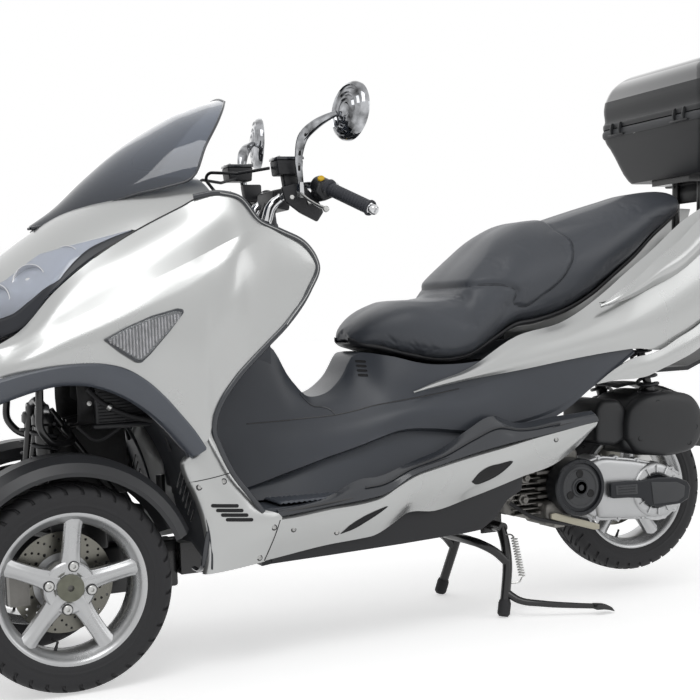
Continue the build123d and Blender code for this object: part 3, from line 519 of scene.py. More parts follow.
def block(points, low, high, bevel, segments=2):
    # flat outline in the XZ plane, carried from low to high across the vehicle, with rounded edges
    made = bmesh.new()
    face = made.faces.new([made.verts.new((x / 1000, low / 1000, z / 1000)) for x, z in points])
    lifted = bmesh.ops.extrude_face_region(made, geom=[face])
    bmesh.ops.translate(made, vec=(0, (high - low) / 1000, 0),
                        verts=[g for g in lifted["geom"] if isinstance(g, bmesh.types.BMVert)])
    bmesh.ops.bevel(made, geom=made.edges[:], offset=bevel / 1000, segments=segments, affect="EDGES",
                    profile=0.5, clamp_overlap=True)
    bmesh.ops.recalc_face_normals(made, faces=made.faces)
    return baked(made, "block")


def bridge(made, rings):
    # faces between the rings, and a lid on the last one
    for a, b in zip(rings, rings[1:]):
        for k in range(len(a)):
            n = (k + 1) % len(a)
            made.faces.new((a[k], a[n], b[n], b[k]))
    return made.faces.new(rings[-1])


def disk(profile, steps=32):
    # (radius, height) points turned about the Z axis
    grid = [[(q * math.cos(2 * math.pi * k / steps), q * math.sin(2 * math.pi * k / steps), h)
             for q, h in profile] for k in range(steps)]
    return creased(gridMesh(grid, loop=True), "disk")


def spun(profile, steps, spot, normal):
    # a turned part with its axis along the normal
    return move(disk(profile, steps), onto(spot, normal))


def box(left, right, low, high):
    # outline for a block
    return [(left, low), (right, low), (right, high), (left, high)]


def dome(name, outline, centre, rings, mat):
    # the outline shrinks towards its centre as it rises to each ring's place across the vehicle
    cx, cz = centre
    grid = []
    for share, y in rings:
        ring = [(cx + (x - cx) * share, y, cz + (z - cz) * share) for x, z in outline]
        grid.append(ring + ring[:1])
    place(name, gridMesh(grid), mat)


def dialled(mesh, degrees, centre, off):
    # a mark turned about the Y axis and carried to the face of a round cover
    mesh.transform(Matrix.Rotation(math.radians(degrees), 4, "Y"))
    x, y, z = centre
    mesh.transform(Matrix.Translation((x / 1000, (y + off) / 1000, z / 1000)))
    return mesh


def screw(r=5.0):
    # a round head with a recess
    return disk([(0.01, 1.6), (r * 0.35, 1.6), (r * 0.42, 0.2), (r * 0.5, 2.2), (r * 0.86, 1.9), (r, 0.6),
                 (r, -3)], 12)


def slot(length, width):
    # long rounded recess, drawn as its dark floor with a raised lip
    made = bmesh.new()
    rings = []
    for grow, height in ((1.0, -1.0), (1.0, 1.0), (0.8, 1.4), (0.62, -0.6)):
        ring = []
        for k in range(20):
            t = 2 * math.pi * k / 20
            x = math.cos(t) * width / 2 * grow + (length - width) / 2 * (1 if math.cos(t) >= 0 else -1)
            ring.append(made.verts.new((x / 1000, math.sin(t) * width / 2000 * grow, height / 1000)))
        rings.append(ring)
    bridge(made, rings)
    return baked(made, "slot")


def ringRepeater():
    # node group that repeats an object round a circle
    tree = bpy.data.node_groups.new("ringOfPieces", "GeometryNodeTree")
    tree.is_modifier = True
    face = tree.interface
    face.new_socket("Geometry", in_out="OUTPUT", socket_type="NodeSocketGeometry")
    for name, kind in (("Piece", "Object"), ("Count", "Int"), ("Size", "Float"), ("Finish", "Material")):
        face.new_socket(name, in_out="INPUT", socket_type="NodeSocket" + kind)
    given = addNode(tree, "NodeGroupInput").outputs
    unit = addNode(tree, "GeometryNodeObjectInfo", {"Object": given["Piece"]}).outputs["Geometry"]
    circle = addNode(tree, "GeometryNodeMeshCircle", {"Vertices": given["Count"], "Radius": given["Size"]})
    number = addNode(tree, "GeometryNodeInputIndex").outputs[0]
    share = addNode(tree, "ShaderNodeMath", {0: number, 1: given["Count"]}, operation="DIVIDE").outputs[0]
    angle = addNode(tree, "ShaderNodeMath", {0: share, 1: 2 * math.pi}, operation="MULTIPLY").outputs[0]
    spin = addNode(tree, "ShaderNodeCombineXYZ", {"Z": angle}).outputs[0]
    copies = addNode(tree, "GeometryNodeInstanceOnPoints",
                     {"Points": circle.outputs["Mesh"], "Instance": unit,
                      "Rotation": spin}).outputs["Instances"]
    real = addNode(tree, "GeometryNodeRealizeInstances", {"Geometry": copies}).outputs["Geometry"]
    paint = addNode(tree, "GeometryNodeSetMaterial", {"Geometry": real, "Material": given["Finish"]})
    addNode(tree, "NodeGroupOutput", {"Geometry": paint.outputs["Geometry"]})
    return tree


repeater = ringRepeater()


def repeated(unit, count, radius, mat):
    # copies of the unit round a circle, the first on the X axis, as one plain mesh
    source = bpy.data.objects.new("unit", unit)
    host = bpy.data.objects.new("host", bpy.data.meshes.new("host"))
    scene.collection.objects.link(source)
    scene.collection.objects.link(host)
    nodes = host.modifiers.new("repeat", "NODES")
    nodes.node_group = repeater
    ids = {s.name: s.identifier for s in repeater.interface.items_tree if s.in_out == "INPUT"}
    for key, value in (("Piece", source), ("Count", count), ("Size", radius), ("Finish", mats[mat])):
        nodes[ids[key]] = value
    mesh = evaluated(host)
    for item in (source, host):
        bpy.data.objects.remove(item)
    return mesh


def carve(body, cutter):
    # the body with the cutter taken out
    made = [bpy.data.objects.new("carved", mesh) for mesh in (body, cutter)]
    for item in made:
        scene.collection.objects.link(item)
    cut = made[0].modifiers.new("cut", "BOOLEAN")
    cut.operation = "DIFFERENCE"
    cut.solver = "EXACT"
    cut.object = made[1]
    mesh = evaluated(made[0])
    for item in made:
        bpy.data.objects.remove(item)
    return creased(mesh, "cut")


def skinOf(item):
    # the surface as a tree for rays
    return BVHTree.FromPolygons([v.co for v in item.data.vertices], [p.vertices for p in item.data.polygons])


def skinY(skin, x, z):
    # how far out the panel lies at this place, seen from the vehicle's right
    hit = skin.ray_cast(Vector((x, 600, z)) / 1000, Vector((0, -1, 0)))[0]
    return hit.y * 1000 if hit else None


def onSkin(line, skin, lift=0.0):
    # the (x, z) points that lie over the panel, on its surface or this far above it
    found = [(x, skinY(skin, x, z), z) for x, z in line]
    return [(x, y + lift, z) for x, y, z in found if y is not None]


def inlay(outline, skin):
    # a recess with a thin lip, laid along the panel under it; its floor lies just above the panel and takes a
    # near-black finish, a painted shade for the depth
    cx, cz = sum(x for x, z in outline) / len(outline), sum(z for x, z in outline) / len(outline)
    made = bmesh.new()
    rings = []
    for share, lift in ((1.0, -2.0), (1.0, 1.6), (0.92, 2.0), (0.84, 1.0), (0.5, 1.0), (0.2, 1.0)):
        ring = []
        for x, z in outline:
            px, pz = cx + (x - cx) * share, cz + (z - cz) * share
            y = skinY(skin, px, pz)
            ring.append(made.verts.new((px / 1000, ((300.0 if y is None else y) + lift) / 1000, pz / 1000)))
        rings.append(ring)
    lid = bridge(made, rings)
    lid.normal_update()
    if lid.normal.y < 0:
        bmesh.ops.reverse_faces(made, faces=made.faces)
    return baked(made)


def pill(x, z, long, wide, lean):
    # outline of a slot with round ends
    c, s = math.cos(math.radians(lean)), math.sin(math.radians(lean))
    straight = (long - wide) / 2
    half = [(straight * (1 - k / 4), wide / 2) for k in range(9)]
    for k in range(1, 8):
        t = math.pi * k / 8
        half.append((-straight - math.sin(t) * wide / 2, math.cos(t) * wide / 2))
    out = half + [(-u, -v) for u, v in half]
    return [(x + u * c - v * s, z + u * s + v * c) for u, v in out]


def studs(name, places, skin, r=5.0):
    # screws in recessed rings
    spots = onSkin(places, skin)
    pair(name, [move(screw(r), onto((x, y + 0.4, z), (0, 1, 0.08))) for x, y, z in spots], "steel")
    pair(name + "Rings", [spun([(r * 1.1, 0.9), (r * 1.5, 0.7), (r * 1.6, -1)], 20, spot, (0, 1, 0.08))
                          for spot in spots], "label")


# radii of lips, seams and bars in millimetres
bars = {"lip": 6.6, "light": 1.3, "gap": 2.2, "well": 7, "seam": 1.2, "joint": 1.4, "sculpt": 1.5,
        "ribbon": 2.2, "mat": 2.6, "screen": 3.2, "tower": 11, "towerTop": 12, "hoop": 9.5,
        "frontSpring": 4.6, "rearSpring": 5, "flange": 5, "leg": 13.5, "bridge": 12, "pivot": 14,
        "standSpring": 1.8, "hook": 2.4, "exhaust": 21, "handlebar": 11, "column": 20, "riser": 14}


# nose, lamps and screen

nose = {"table": [(-1222, 96, 846, 878), (-1185, 186, 838, 935), (-1119, 238, 826, 990),
                  (-1085, 252, 838, 1014), (-1009, 262, 921, 1070), (-926, 252, 985, 1124),
                  (-860, 242, 1024, 1156), (-800, 232, 1058, 1180), (-720, 236, 1096, 1200),
                  (-640, 242, 1136, 1212), (-600, 242, 1148, 1214)],
        "lensTop": [(-1240, 878), (-1150, 930), (-1090, 958), (-1050, 988), (-1011, 1016), (-950, 1032),
                    (-860, 1052), (-792, 1068), (-600, 1150)], "lensEnd": -792.0, "lampEnd": -800,
        "middle": 44.0}


def lensAngle(x, r, mid, limit):
    # where the lens meets the silver shell in this section
    top = along(nose["lensTop"], x)
    least = math.asin(nose["middle"] / r)
    if x > nose["lensEnd"]:
        return limit
    if top >= mid + r:
        return min(least, limit)
    return max(min(math.acos(max(-1.0, min(1.0, (top - mid) / r))), limit), min(least, limit))


def lampRows(side=0, edge=0, crown=0):
    # the nose's sections over the lamps, drawn in by these amounts
    return [(x, w - side, e - edge, c - crown) for x, w, e, c in nose["table"] if x <= nose["lampEnd"]]


shell = arcs(nose["table"], 6, lambda x, r, mid,
             m: spread(-lensAngle(x, r, mid, m), lensAngle(x, r, mid, m), 24))
sheet("noseShell", shell, "silver", 0.005, 0.001, nodes=["nose_fairing"], turn=True)
lensGrid = arcs(lampRows(), 6, lambda x, r, mid, m: spread(lensAngle(x, r, mid, m), m, 8))
sheet("lampLens", lensGrid, "lampGlass", 0.004, 0.0008, nodes=["headlamps"], mirror=True, turn=True)

# inside of the lamps: dark tray, bright bowls and their bulbs
tray = arcs(lampRows(16, 4, 20), 6, lambda x, r, mid, m: spread(min(lensAngle(x, r, mid, m), m) * 0.9, m, 8))
sheet("lampTray", tray, "lampDark", 0.003, mirror=True, turn=True)
bowlShape = [(4, -26), (20, -22), (32, -10), (38, 4), (41, 8), (43, 6), (43, -4)]
bulbShape = [(0.1, 12), (9, 10), (13, 2), (14, -8), (17, -12), (17, -24)]
bowls = []
for x, y, z in ((-1120, 176, 908), (-1040, 198, 950), (-955, 204, 990)):
    for unit in (disk(bowlShape), disk(bulbShape)):
        bowls.append(move(unit, onto((x, y, z), (-0.55, 0.75, 0.2))))
flutes = {"count": 9, "from": -1000, "to": -838, "radius": 1.6}
for k in range(flutes["count"]):
    row = arcs(lampRows(9, 2, 11), 6, lambda x, r, mid, m: [
        lensAngle(x, r, mid, m) * 0.97 + (m - lensAngle(x, r, mid, m)) * k / flutes["count"]])
    line = [station[0] for station in row if flutes["from"] < station[0][0] < flutes["to"]]
    tube("lampFlute%d" % k, line, flutes["radius"], "flute", along=1, mirror=True, sides=6)
# a thin dark sheet over the lower part of the lamp lens: a painted shade on the glass
shadeEdge = [(-1290, 0.66), (-1060, 0.7), (-985, 0.9), (-955, 0.74), (-900, 0.4), (-840, 0.24), (-800, 0.2)]
shade = arcs(lampRows(-1.4, 0, -1.4), 6, lambda x, r, mid, m: spread(
    lensAngle(x, r, mid, m) + (m - lensAngle(x, r, mid, m)) * along(shadeEdge, x), m, 4))
sheet("lampShade", shade, "lampDark", 0.0006, mirror=True, turn=True)
pair("lampInside", bowls, "chrome")
print("nose and lamps built")

screen = {"table": [(-995, 22, 1088, 1095), (-940, 66, 1094, 1133), (-860, 108, 1124, 1206),
                    (-760, 152, 1158, 1288), (-690, 182, 1172, 1332), (-636, 198, 1190, 1362),
                    (-593, 188, 1270, 1380), (-550, 156, 1330, 1396), (-520, 118, 1372, 1404),
                    (-503, 84, 1394, 1410)]}
glass = arcs(screen["table"], 5, lambda x, r, mid, m: spread(-m, m, 28))
sheet("windscreenSheet", glass, "smoke", 0.004, 0.0006, nodes=["windscreen"], turn=True)
for tag, edge in (("Left", [row[0] for row in glass]), ("Right", [row[-1] for row in glass]),
                  ("Top", glass[-1])):
    tube("screenEdge" + tag, edge, bars["screen"], "darkGloss", along=1, sides=8)


# side fairings

fairing = [
    (-1150, (302, 718), (308, 742), (300, 776), (296, 790), (287, 802)),
    (-1085, (322, 730), (334, 764), (309, 804), (293, 822), (265, 836)),
    (-1000, (330, 742), (343, 796), (318, 847), (300, 888), (269, 924)),
    (-900, (332, 738), (347, 836), (320, 891), (295, 950), (257, 1000)),
    (-800, (332, 682), (348, 878), (321, 935), (289, 1002), (243, 1058)),
    (-710, (329, 582), (347, 915), (319, 974), (287, 1046), (243, 1102)),
    (-676, (328, 556), (345, 934), (318, 989), (287, 1062), (246, 1118)),
    (-650, (322, 604), (343, 950), (316, 1001), (289, 1072), (250, 1132)),
    (-590, (318, 706), (337, 986), (312, 1028), (295, 1090), (264, 1146)),
    (-548, (315, 746), (325, 1010), (316, 1046), (300, 1092), (278, 1134)),
    (-500, (307, 786), (316, 1028), (310, 1063), (303, 1068), (294, 1073)),
    (-452, (303, 828), (311, 1012), (307, 1042), (303, 1046), (299, 1050)),
    (-385, (299, 912), (302, 980), (300, 1002), (298, 1008), (297, 1014)),
    (-362, (296, 946), (298, 962), (298, 972), (297, 977), (296, 981)),
]
panel("fairingPanels", fairing, "silver", ["side_fairings"], corners=[2], along=5, across=5)
back = [row for row in fairing if row[0] >= -590]
lipLine = [(-652, 252, 1140)] + [(x, cut[-1][0] + 2, cut[-1][1] + 2) for x, *cut in back]
lipLine += [(-356, 297, 964)] + [(x + 4, cut[0][0] + 1, cut[0][1] - 4) for x, *cut in reversed(back[:-1])]
lipLine += [(-648, 323, 604), (-650, 321, 578), (-638, 318, 545), (-604, 314, 473), (-560, 308, 414),
            (-530, 304, 374)]
tube("fairingLips", lipLine, bars["lip"], "darkGloss", along=8, flat=0.7, mirror=True)
# a thin silver line along the dark lip: a painted highlight
tube("lipLights", [(x, y + 4.5, z) for x, y, z in lipLine[1:10]], bars["light"], "silver", along=8,
     mirror=True, sides=6)
seam = [(x, cut[-1][0] - 1, cut[-1][1] + 1) for x, *cut in fairing[3:9]]
tube("fairingGaps", seam, bars["gap"], "label", mirror=True, sides=6)
frontFace = [(-905, 811), (-860, 834), (-800, 856), (-742, 869), (-728, 866), (-728, 858), (-760, 822),
             (-806, 776), (-826, 760), (-836, 760), (-870, 782)]
signal = block(frontFace, 350, 365, 4, 3)
pair("indicatorLens", [signal], "lens", nodes=["front_indicators"])
grow = [(-816 + (x + 816) * 1.08, 818 + (z - 818) * 1.12) for x, z in frontFace]
rim = block(grow, 332, 360, 4, 2)
pair("indicatorRim", [rim], "darkGloss")
ribs = []
for k in range(22):
    x = -897 + k * 7.6
    high = along([(-905, 808), (-860, 829), (-800, 851), (-742, 862), (-728, 860)], x)
    low = along([(-905, 806), (-870, 786), (-836, 765), (-826, 764), (-760, 828), (-728, 856)], x)
    if high - low > 6:
        ribs.append(block(box(x - 3, x + 3, low, high), 352, 362, 1.4, 1))
pair("indicatorMirror", ribs, "reflector")

# wheel arch trims: the outer and the inner edge, and the sections between them
archOuter = [(-1146, 731), (-1100, 742), (-1055, 750), (-1010, 756), (-964, 758), (-905, 754), (-861, 742),
             (-812, 712), (-770, 672), (-735, 630), (-701, 586), (-676, 545)]
archInner = [(-1146, 676), (-1102, 690), (-1060, 701), (-1015, 709), (-980, 709), (-935, 703), (-895, 689),
             (-850, 665), (-800, 627), (-762, 588), (-730, 549), (-706, 520)]
archGrid = []
for (xo, zo), (xi, zi) in zip(flow(archOuter, 4), flow(archInner, 4)):
    xm, zm = xi + (xo - xi) * 0.4, zi + (zo - zi) * 0.4
    archGrid.append([(xi + 4, 232, zi + 16), (xi, 284, zi + 3), (xi, 314, zi), (xi + 1, 327, zi + 5),
                     (xm, 337, zm), (xo - 2, 342, zo - 5), (xo, 339, zo), (xo, 320, zo + 3)])
sheet("archBands", archGrid, "archTrim", 0.004, 0.001, nodes=["arch_trims"], mirror=True)

# wheel well: roof, rear wall and the dark inner side behind the wheel
wellLine = [(-1142, 722), (-1030, 744), (-925, 744), (-868, 724), (-812, 676), (-756, 612), (-712, 530),
            (-684, 440), (-668, 350), (-662, 296), (-664, 250)]
wellGrid = []
for x, z in flow(wellLine, 4):
    rise = 0.3 * max(0.0, min(1.0, (380 - z) / 120))
    row = [(x, y, z + (304 - y) * rise) for y in (304, 290, 250, 200, 150, 112)]
    wellGrid.append(row[:-1] + [(x - 10, 104, row[-1][2] - 12)])
sheet("wellShells", wellGrid, "liner", 0.004, nodes=["wheel_wells"], mirror=True)
louvres = [move(slot(66, 7), onto((-706 + 6.2 * k, 214, 472 - 17 * k), (-0.93, 0, 0.33), 90))
           for k in range(6)]
pair("wellLouvres", louvres, "label")
lip = [(-668, 300, 340), (-676, 296, 300), (-680, 284, 262), (-676, 240, 240), (-672, 180, 236)]
tube("wellLips", lip, bars["well"], "darkGloss", flat=0.6, mirror=True)

shieldRows = [
    ((-668, 612), (-660, 613)),
    ((-682, 574), (-648, 582)),
    ((-697, 540), (-632, 538)),
    ((-726, 511), (-618, 500)),
    ((-719, 470), (-602, 468)),
    ((-703, 435), (-578, 432)),
    ((-687, 388), (-540, 386)),
    ((-677, 340), (-480, 356)),
    ((-674, 300), (-497, 314)),
    ((-677, 262), (-514, 281)),
    ((-683, 238), (-528, 252)),
]
shieldGrid = []
for (xl, zl), (xr, zr) in zip(*(flow(line, 4) for line in zip(*shieldRows))):
    low = 6 * max(0.0, (300 - zl) / 60)
    deep = 8 * max(0.0, min(1.0, (zl - 520) / 50))
    shieldGrid.append([(xl + (xr - xl) * t, y - low - deep, zl + (zr - zl) * t) for t, y in (
        (0.0, 284), (0.01, 296), (0.05, 304), (0.14, 310), (0.28, 313), (0.45, 313), (0.62, 311), (0.8, 307),
        (0.92, 303), (1.0, 299))])
shieldSkin = skinOf(sheet("lowerShieldPanels", shieldGrid, "silver", 0.004, 0.001, nodes=["lower_shields"],
                          mirror=True))
# the slots' near-black floors are a painted shade
cuts = [inlay(pill(-629 + 11.6 * k, 400 - 12.3 * k, 70, 8.4, -6), shieldSkin) for k in range(4)]
pair("shieldSlots", cuts, "hollow")
tube("shieldSeams", onSkin(flow([(-712, 463), (-660, 469), (-608, 476)], 4), shieldSkin, 0.2), bars["seam"],
     "label", along=1, mirror=True, sides=6)
tube("shieldJoints", onSkin([(-486, 350), (-500, 316), (-516, 281), (-530, 254)], shieldSkin, 0.2),
     bars["joint"], "label", mirror=True, sides=6)
studs("shieldScrews", [(-690, 450), (-628, 458), (-504, 334), (-544, 264)], shieldSkin)
print("front body built")

# skirts, floor and inner panels

skirt = [
    (-520, (244, 243), (284, 290), (297, 350), (288, 357)),
    (-476, (250, 250), (288, 302), (300, 350), (290, 356)),
    (-346, (254, 267), (291, 318), (303, 362), (290, 369)),
    (-258, (256, 273), (292, 322), (304, 368), (290, 375)),
    (-218, (256, 277), (293, 326), (305, 375), (291, 381)),
    (-162, (256, 302), (295, 350), (306, 402), (292, 408)),
    (-121, (254, 324), (296, 372), (307, 421), (292, 427)),
    (-41, (254, 322), (297, 385), (308, 440), (294, 447)),
    (60, (256, 345), (301, 407), (310, 460), (296, 467)),
    (141, (256, 365), (304, 425), (311, 474), (297, 480)),
    (225, (258, 388), (305, 446), (312, 490), (298, 496)),
    (318, (262, 411), (304, 465), (313, 505), (300, 511)),
    (396, (268, 457), (301, 492), (312, 517), (300, 522)),
    (434, (284, 500), (299, 509), (309, 521), (299, 525)),
]
skirtSkin = skinOf(panel("skirtPanels", skirt, "silver", ["side_skirts"], corners=[2], along=5, across=5))
# the pocket's near-black floor is a painted shade
hollow = flow([(50, 392), (58, 404), (72, 418), (98, 430), (128, 434), (168, 437), (150, 418), (124, 400),
               (92, 388), (64, 384), (50, 392)], 3)[:-1]
pair("skirtPockets", [inlay(hollow, skirtSkin)], "hollow")
# the sweep's near-black floor is a painted shade
crescent = flow([(-318, 294), (-298, 314), (-262, 334), (-226, 347), (-196, 354), (-214, 342), (-250, 322),
                 (-284, 304), (-318, 294)], 4)[:-1]
pair("skirtSweeps", [inlay(crescent, skirtSkin)], "hollow")
studs("skirtScrews", [(-450, 322), (-330, 300), (300, 484)], skirtSkin, 4.5)
ribbon = [
    (-488, (299, 358), (293, 367), (282, 375)), (-350, (300, 371), (290, 384), (276, 392)),
    (-252, (303, 379), (292, 404), (270, 427)), (-206, (304, 386), (292, 408), (268, 428)),
    (-120, (305, 428), (292, 442), (266, 454)), (-20, (306, 452), (293, 468), (262, 483)),
    (60, (308, 469), (292, 500), (258, 524)), (141, (310, 483), (292, 525), (256, 556)),
    (200, (312, 492), (296, 516), (260, 535)), (320, (314, 508), (300, 524), (268, 542)),
    (436, (312, 525), (303, 536), (276, 550)),
]
panel("stepRibbons", ribbon, "darkGloss", ["passenger_steps"], thick=0.007)
sculpt = [
    (-590, (152, 384), (142, 400), (130, 480), (122, 571), (110, 640), (96, 716)),
    (-500, (166, 384), (154, 420), (134, 498), (127, 572), (108, 700), (80, 800)),
    (-414, (180, 385), (168, 446), (142, 515), (132, 573), (106, 690), (78, 772)),
    (-355, (190, 386), (176, 463), (148, 525), (136, 575), (110, 630), (84, 675)),
    (-309, (196, 388), (182, 477), (152, 530), (140, 576), (114, 606), (84, 630)),
    (-256, (204, 392), (190, 491), (158, 541), (146, 579), (118, 610), (80, 634)),
    (-208, (210, 398), (198, 505), (166, 551), (154, 586), (116, 630), (70, 668)),
    (-162, (216, 410), (206, 520), (176, 562), (164, 596), (112, 668), (72, 732)),
    (-107, (222, 428), (214, 534), (190, 575), (180, 604), (158, 668), (132, 728)),
    (-10, (230, 452), (224, 531), (212, 582), (206, 617), (203, 652), (190, 700)),
    (66, (236, 472), (232, 521), (222, 586), (216, 628), (213, 654), (200, 696)),
    (200, (240, 507), (237, 530), (231, 602), (227, 652), (224, 676), (210, 708)),
    (350, (240, 540), (238, 562), (235, 622), (231, 674), (229, 690), (214, 730)),
    (472, (237, 612), (236, 622), (234, 660), (231, 694), (229, 706), (216, 744)),
    (612, (231, 700), (231, 702), (230, 705), (229, 709), (228, 712), (218, 760)),
]
relief = []
for x, foot, (y, z), (outY, outZ), *rest in sculpt:
    step = 20 * along([(-540, 0), (-430, 1), (20, 1), (200, 0.2), (340, 0)], x)
    relief.append((x, foot, (y - step, z - 8), (y + 1, z + 1), (outY + step * 0.8, outZ), *rest))
sculptItem = panel("sidePanelSkins", relief, "dark", ["side_panels", "tunnel"], corners=[1, 2, 4], along=5,
                   across=5)
crest = flow([(row[0], *row[6]) for row in sculpt[1:9]], 5)
crown = [[(x, k * y / 6, z + 4 - 0.0006 * (k * y / 6) ** 2) for k in range(-6, 7)] for x, y, z in crest]
sheet("tunnelTop", crown, "dark", 0.004, turn=True)
sculptSkin = skinOf(sculptItem)
# the vents' near-black floors are a painted shade
vents = [inlay(pill(-158 - k, 714 - 12 * k, 22, 6.4, -6), sculptSkin) for k in range(4)]
pair("ventSlots", vents, "hollow")
ridge = [(row[0], row[4][1] + 3) for row in sculpt[1:11]]
tube("sculptSeams", onSkin(flow(ridge, 5), sculptSkin, 0.4), bars["sculpt"], "label", along=1, mirror=True,
     sides=6)
joint = flow([(-262, 582), (-268, 594), (-284, 602), (-310, 606), (-340, 640)], 5)
tube("tunnelJoints", onSkin(joint, sculptSkin, 0.4), bars["joint"], "label", along=1, mirror=True, sides=6)
tube("ribbonLines", [(x, y + 3, z + 3) for x, foot, (y, z), top in ribbon[2:10]], bars["ribbon"], "casePale",
     mirror=True, sides=8)
print("floor and inner panels built")

# tail

tail = [
    (-66, (214, 629), (215, 630), (215, 631), (213, 632)),
    (0, (221, 640), (225, 645), (224, 650), (214, 654)),
    (81, (228, 652), (234, 660), (232, 668), (214, 676)),
    (256, (236, 672), (244, 690), (238, 728), (208, 762)),
    (400, (238, 690), (248, 715), (242, 758), (202, 792)),
    (543, (238, 704), (250, 740), (240, 812), (200, 868)),
    (620, (236, 708), (250, 760), (238, 850), (196, 920)),
    (703, (230, 700), (247, 790), (236, 885), (190, 972)),
    (850, (214, 752), (236, 850), (226, 960), (174, 1070)),
    (1000, (176, 845), (200, 905), (190, 1020), (144, 1124)),
    (1088, (138, 902), (156, 950), (150, 1040), (112, 1118)),
]
panel("tailPanels", tail, "silver", ["rear_body"], across=6)
blade = [(482, (240, 617), (241, 618), (241, 619)), (540, (240, 624), (245, 640), (243, 655)),
         (617, (240, 625), (248, 656), (246, 686)), (655, (239, 630), (248, 660), (245, 690)),
         (700, (236, 645), (246, 672), (243, 702)), (760, (232, 664), (243, 690), (240, 730)),
         (833, (222, 690), (235, 716), (230, 760)), (900, (206, 724), (220, 754), (214, 800)),
         (1000, (176, 778), (190, 812), (182, 862))]
panel("tailBlades", blade, "silver", thick=0.006, along=5)
rail = [
    (496, (250, 830), (252, 831), (251, 833)), (515, (251, 830), (262, 838), (256, 845)),
    (545, (252, 836), (274, 850), (262, 866)),
    (620, (252, 858), (280, 884), (262, 910)), (673, (248, 878), (280, 914), (258, 948)),
    (760, (244, 910), (275, 952), (252, 1000)), (850, (232, 962), (266, 1014), (242, 1066)),
    (940, (216, 1022), (248, 1066), (226, 1106)), (1004, (202, 1062), (230, 1098), (212, 1124)),
]
panel("grabRailSkins", rail, "silver", ["grab_rails"], thick=0.012, across=5)
lampLine = flow([(906, 0.96), (930, 1.0), (985, 0.98), (1040, 0.94), (1094, 0.86)], 4)
lamp = [[(1096 + 14 * math.cos(k / 10 * 1.35), 126 * math.sin(k / 10 * 1.2) / math.sin(1.2) * w, z)
         for k in range(-10, 11)] for z, w in lampLine]
sheet("tailLens", lamp, "red", 0.01, 0.002, nodes=["tail_lamp"])
print("tail built")

# top case

def roundedRow(x0, x1, half, z, corner):
    # a rounded rectangle at one height
    row = []
    for cx, cy, start in ((x1 - corner, half - corner, 0), (x0 + corner, half - corner, 90),
                          (x0 + corner, corner - half, 180), (x1 - corner, corner - half, 270)):
        for t in map(math.radians, spread(start, start + 90, 10)):
            row.append((cx + corner * math.cos(t), cy + corner * math.sin(t), z))
    return row + [row[0]]


def caseSkin(name, stations, mat, body="root", nodes=(), cap=()):
    # stations up the case: front, back, half width, height and corner radius; cap closes the top
    rows = [roundedRow(*station) for station in flow(stations, 4)]
    last = rows[-1]
    mid = sum(p[0] for p in last) / len(last)
    rows += [[(mid + (x - mid) * s, y * s, z + rise) for x, y, z in last] for s, rise in cap]
    place(name, creased(gridMesh(list(zip(*rows)), turn=True), "case"), mat, body, nodes)


caseSkin("caseTub", [(912, 1250, 196, 1204, 40), (906, 1258, 208, 1214, 46), (876, 1280, 258, 1318, 50),
                     (869, 1286, 270, 1338, 52), (866, 1288, 273, 1350, 52)], "case", nodes=["top_case_base"])
caseSkin("caseBand", [(864, 1290, 275, 1350, 54), (862, 1292, 277, 1353, 54), (862, 1292, 277, 1372, 54),
                      (864, 1290, 275, 1375, 54), (866, 1288, 273, 1376, 52)], "casePale")
floorRow = roundedRow(912, 1250, 196, 1204, 40)
floorEnd = [(1087 + (x - 1087) * 0.02, y * 0.02, z) for x, y, z in floorRow]
place("caseFloor", gridMesh([floorRow, floorEnd]), "case")
caseSkin("caseLidBand", [(863, 1291, 276, 1378, 54), (863, 1291, 276, 1392, 54), (866, 1288, 273, 1396, 52),
                         (866, 1287, 272, 1440, 52), (870, 1284, 269, 1464, 50)], "case", "case_lid",
         ["top_case_lid"])
caseSkin("caseLidTop", [(870, 1284, 269, 1464, 50), (872, 1283, 268, 1469, 50), (884, 1278, 258, 1500, 56),
                        (912, 1262, 234, 1528, 62), (956, 1236, 200, 1545, 70)], "caseGloss", "case_lid",
         cap=[(0.8, 5), (0.6, 8), (0.4, 10), (0.2, 11), (0.02, 11.5)])
hinge = []
for y in (-150, 165):
    for k in (-22, 22):
        lug = [(864, 1352), (854, 1358), (852, 1372), (856, 1390), (864, 1394), (868, 1352)]
        hinge.append(block(lug, y + k - 3, y + k + 3, 1.2))
    hinge.append(block([(854, 1352), (866, 1352), (866, 1358), (854, 1358)], y - 40, y + 40, 1.6))
merge("caseHinges", hinge, "case")
print("top case built")


# wheels

wheel = {"spokes": 5, "phase": 84.0, "bolts": 4, "boltRing": 0.05, "boltTurn": -11, "boltSeat": 0.0305,
         "discIn": 66, "discOut": 120, "discHalf": 2, "discPlace": -0.0535,
         "holes": [(78, 4.2), (90, 3.2), (102, 3.2), (112, 3.2)], "holesRound": 18, "holesTurn": 6}
tread = {"half": 64.0, "crown": 243.0, "periods": 36, "depth": 5.0}
rimShape = [(172, -53), (166, -50), (152, -40), (149, -20), (149, 20), (152, 31), (157, 36), (163, 45),
            (168, 52), (173, 55), (177, 55), (179, 52), (179, 47), (168, 46), (167, 22), (160, 14),
            (160, -14), (167, -22), (168, -46), (179, -47), (179, -52), (172, -53)]
hubShape = [(7.5, 8), (7.5, 22), (9, 24), (10, 33), (13, 36.5), (24, 36.5), (29, 34), (31, 29), (33, 27),
            (36, 28.5), (44, 30.5), (57, 30.5), (61, 27), (62.5, 18), (62, -6), (50, -20), (46, -50)]


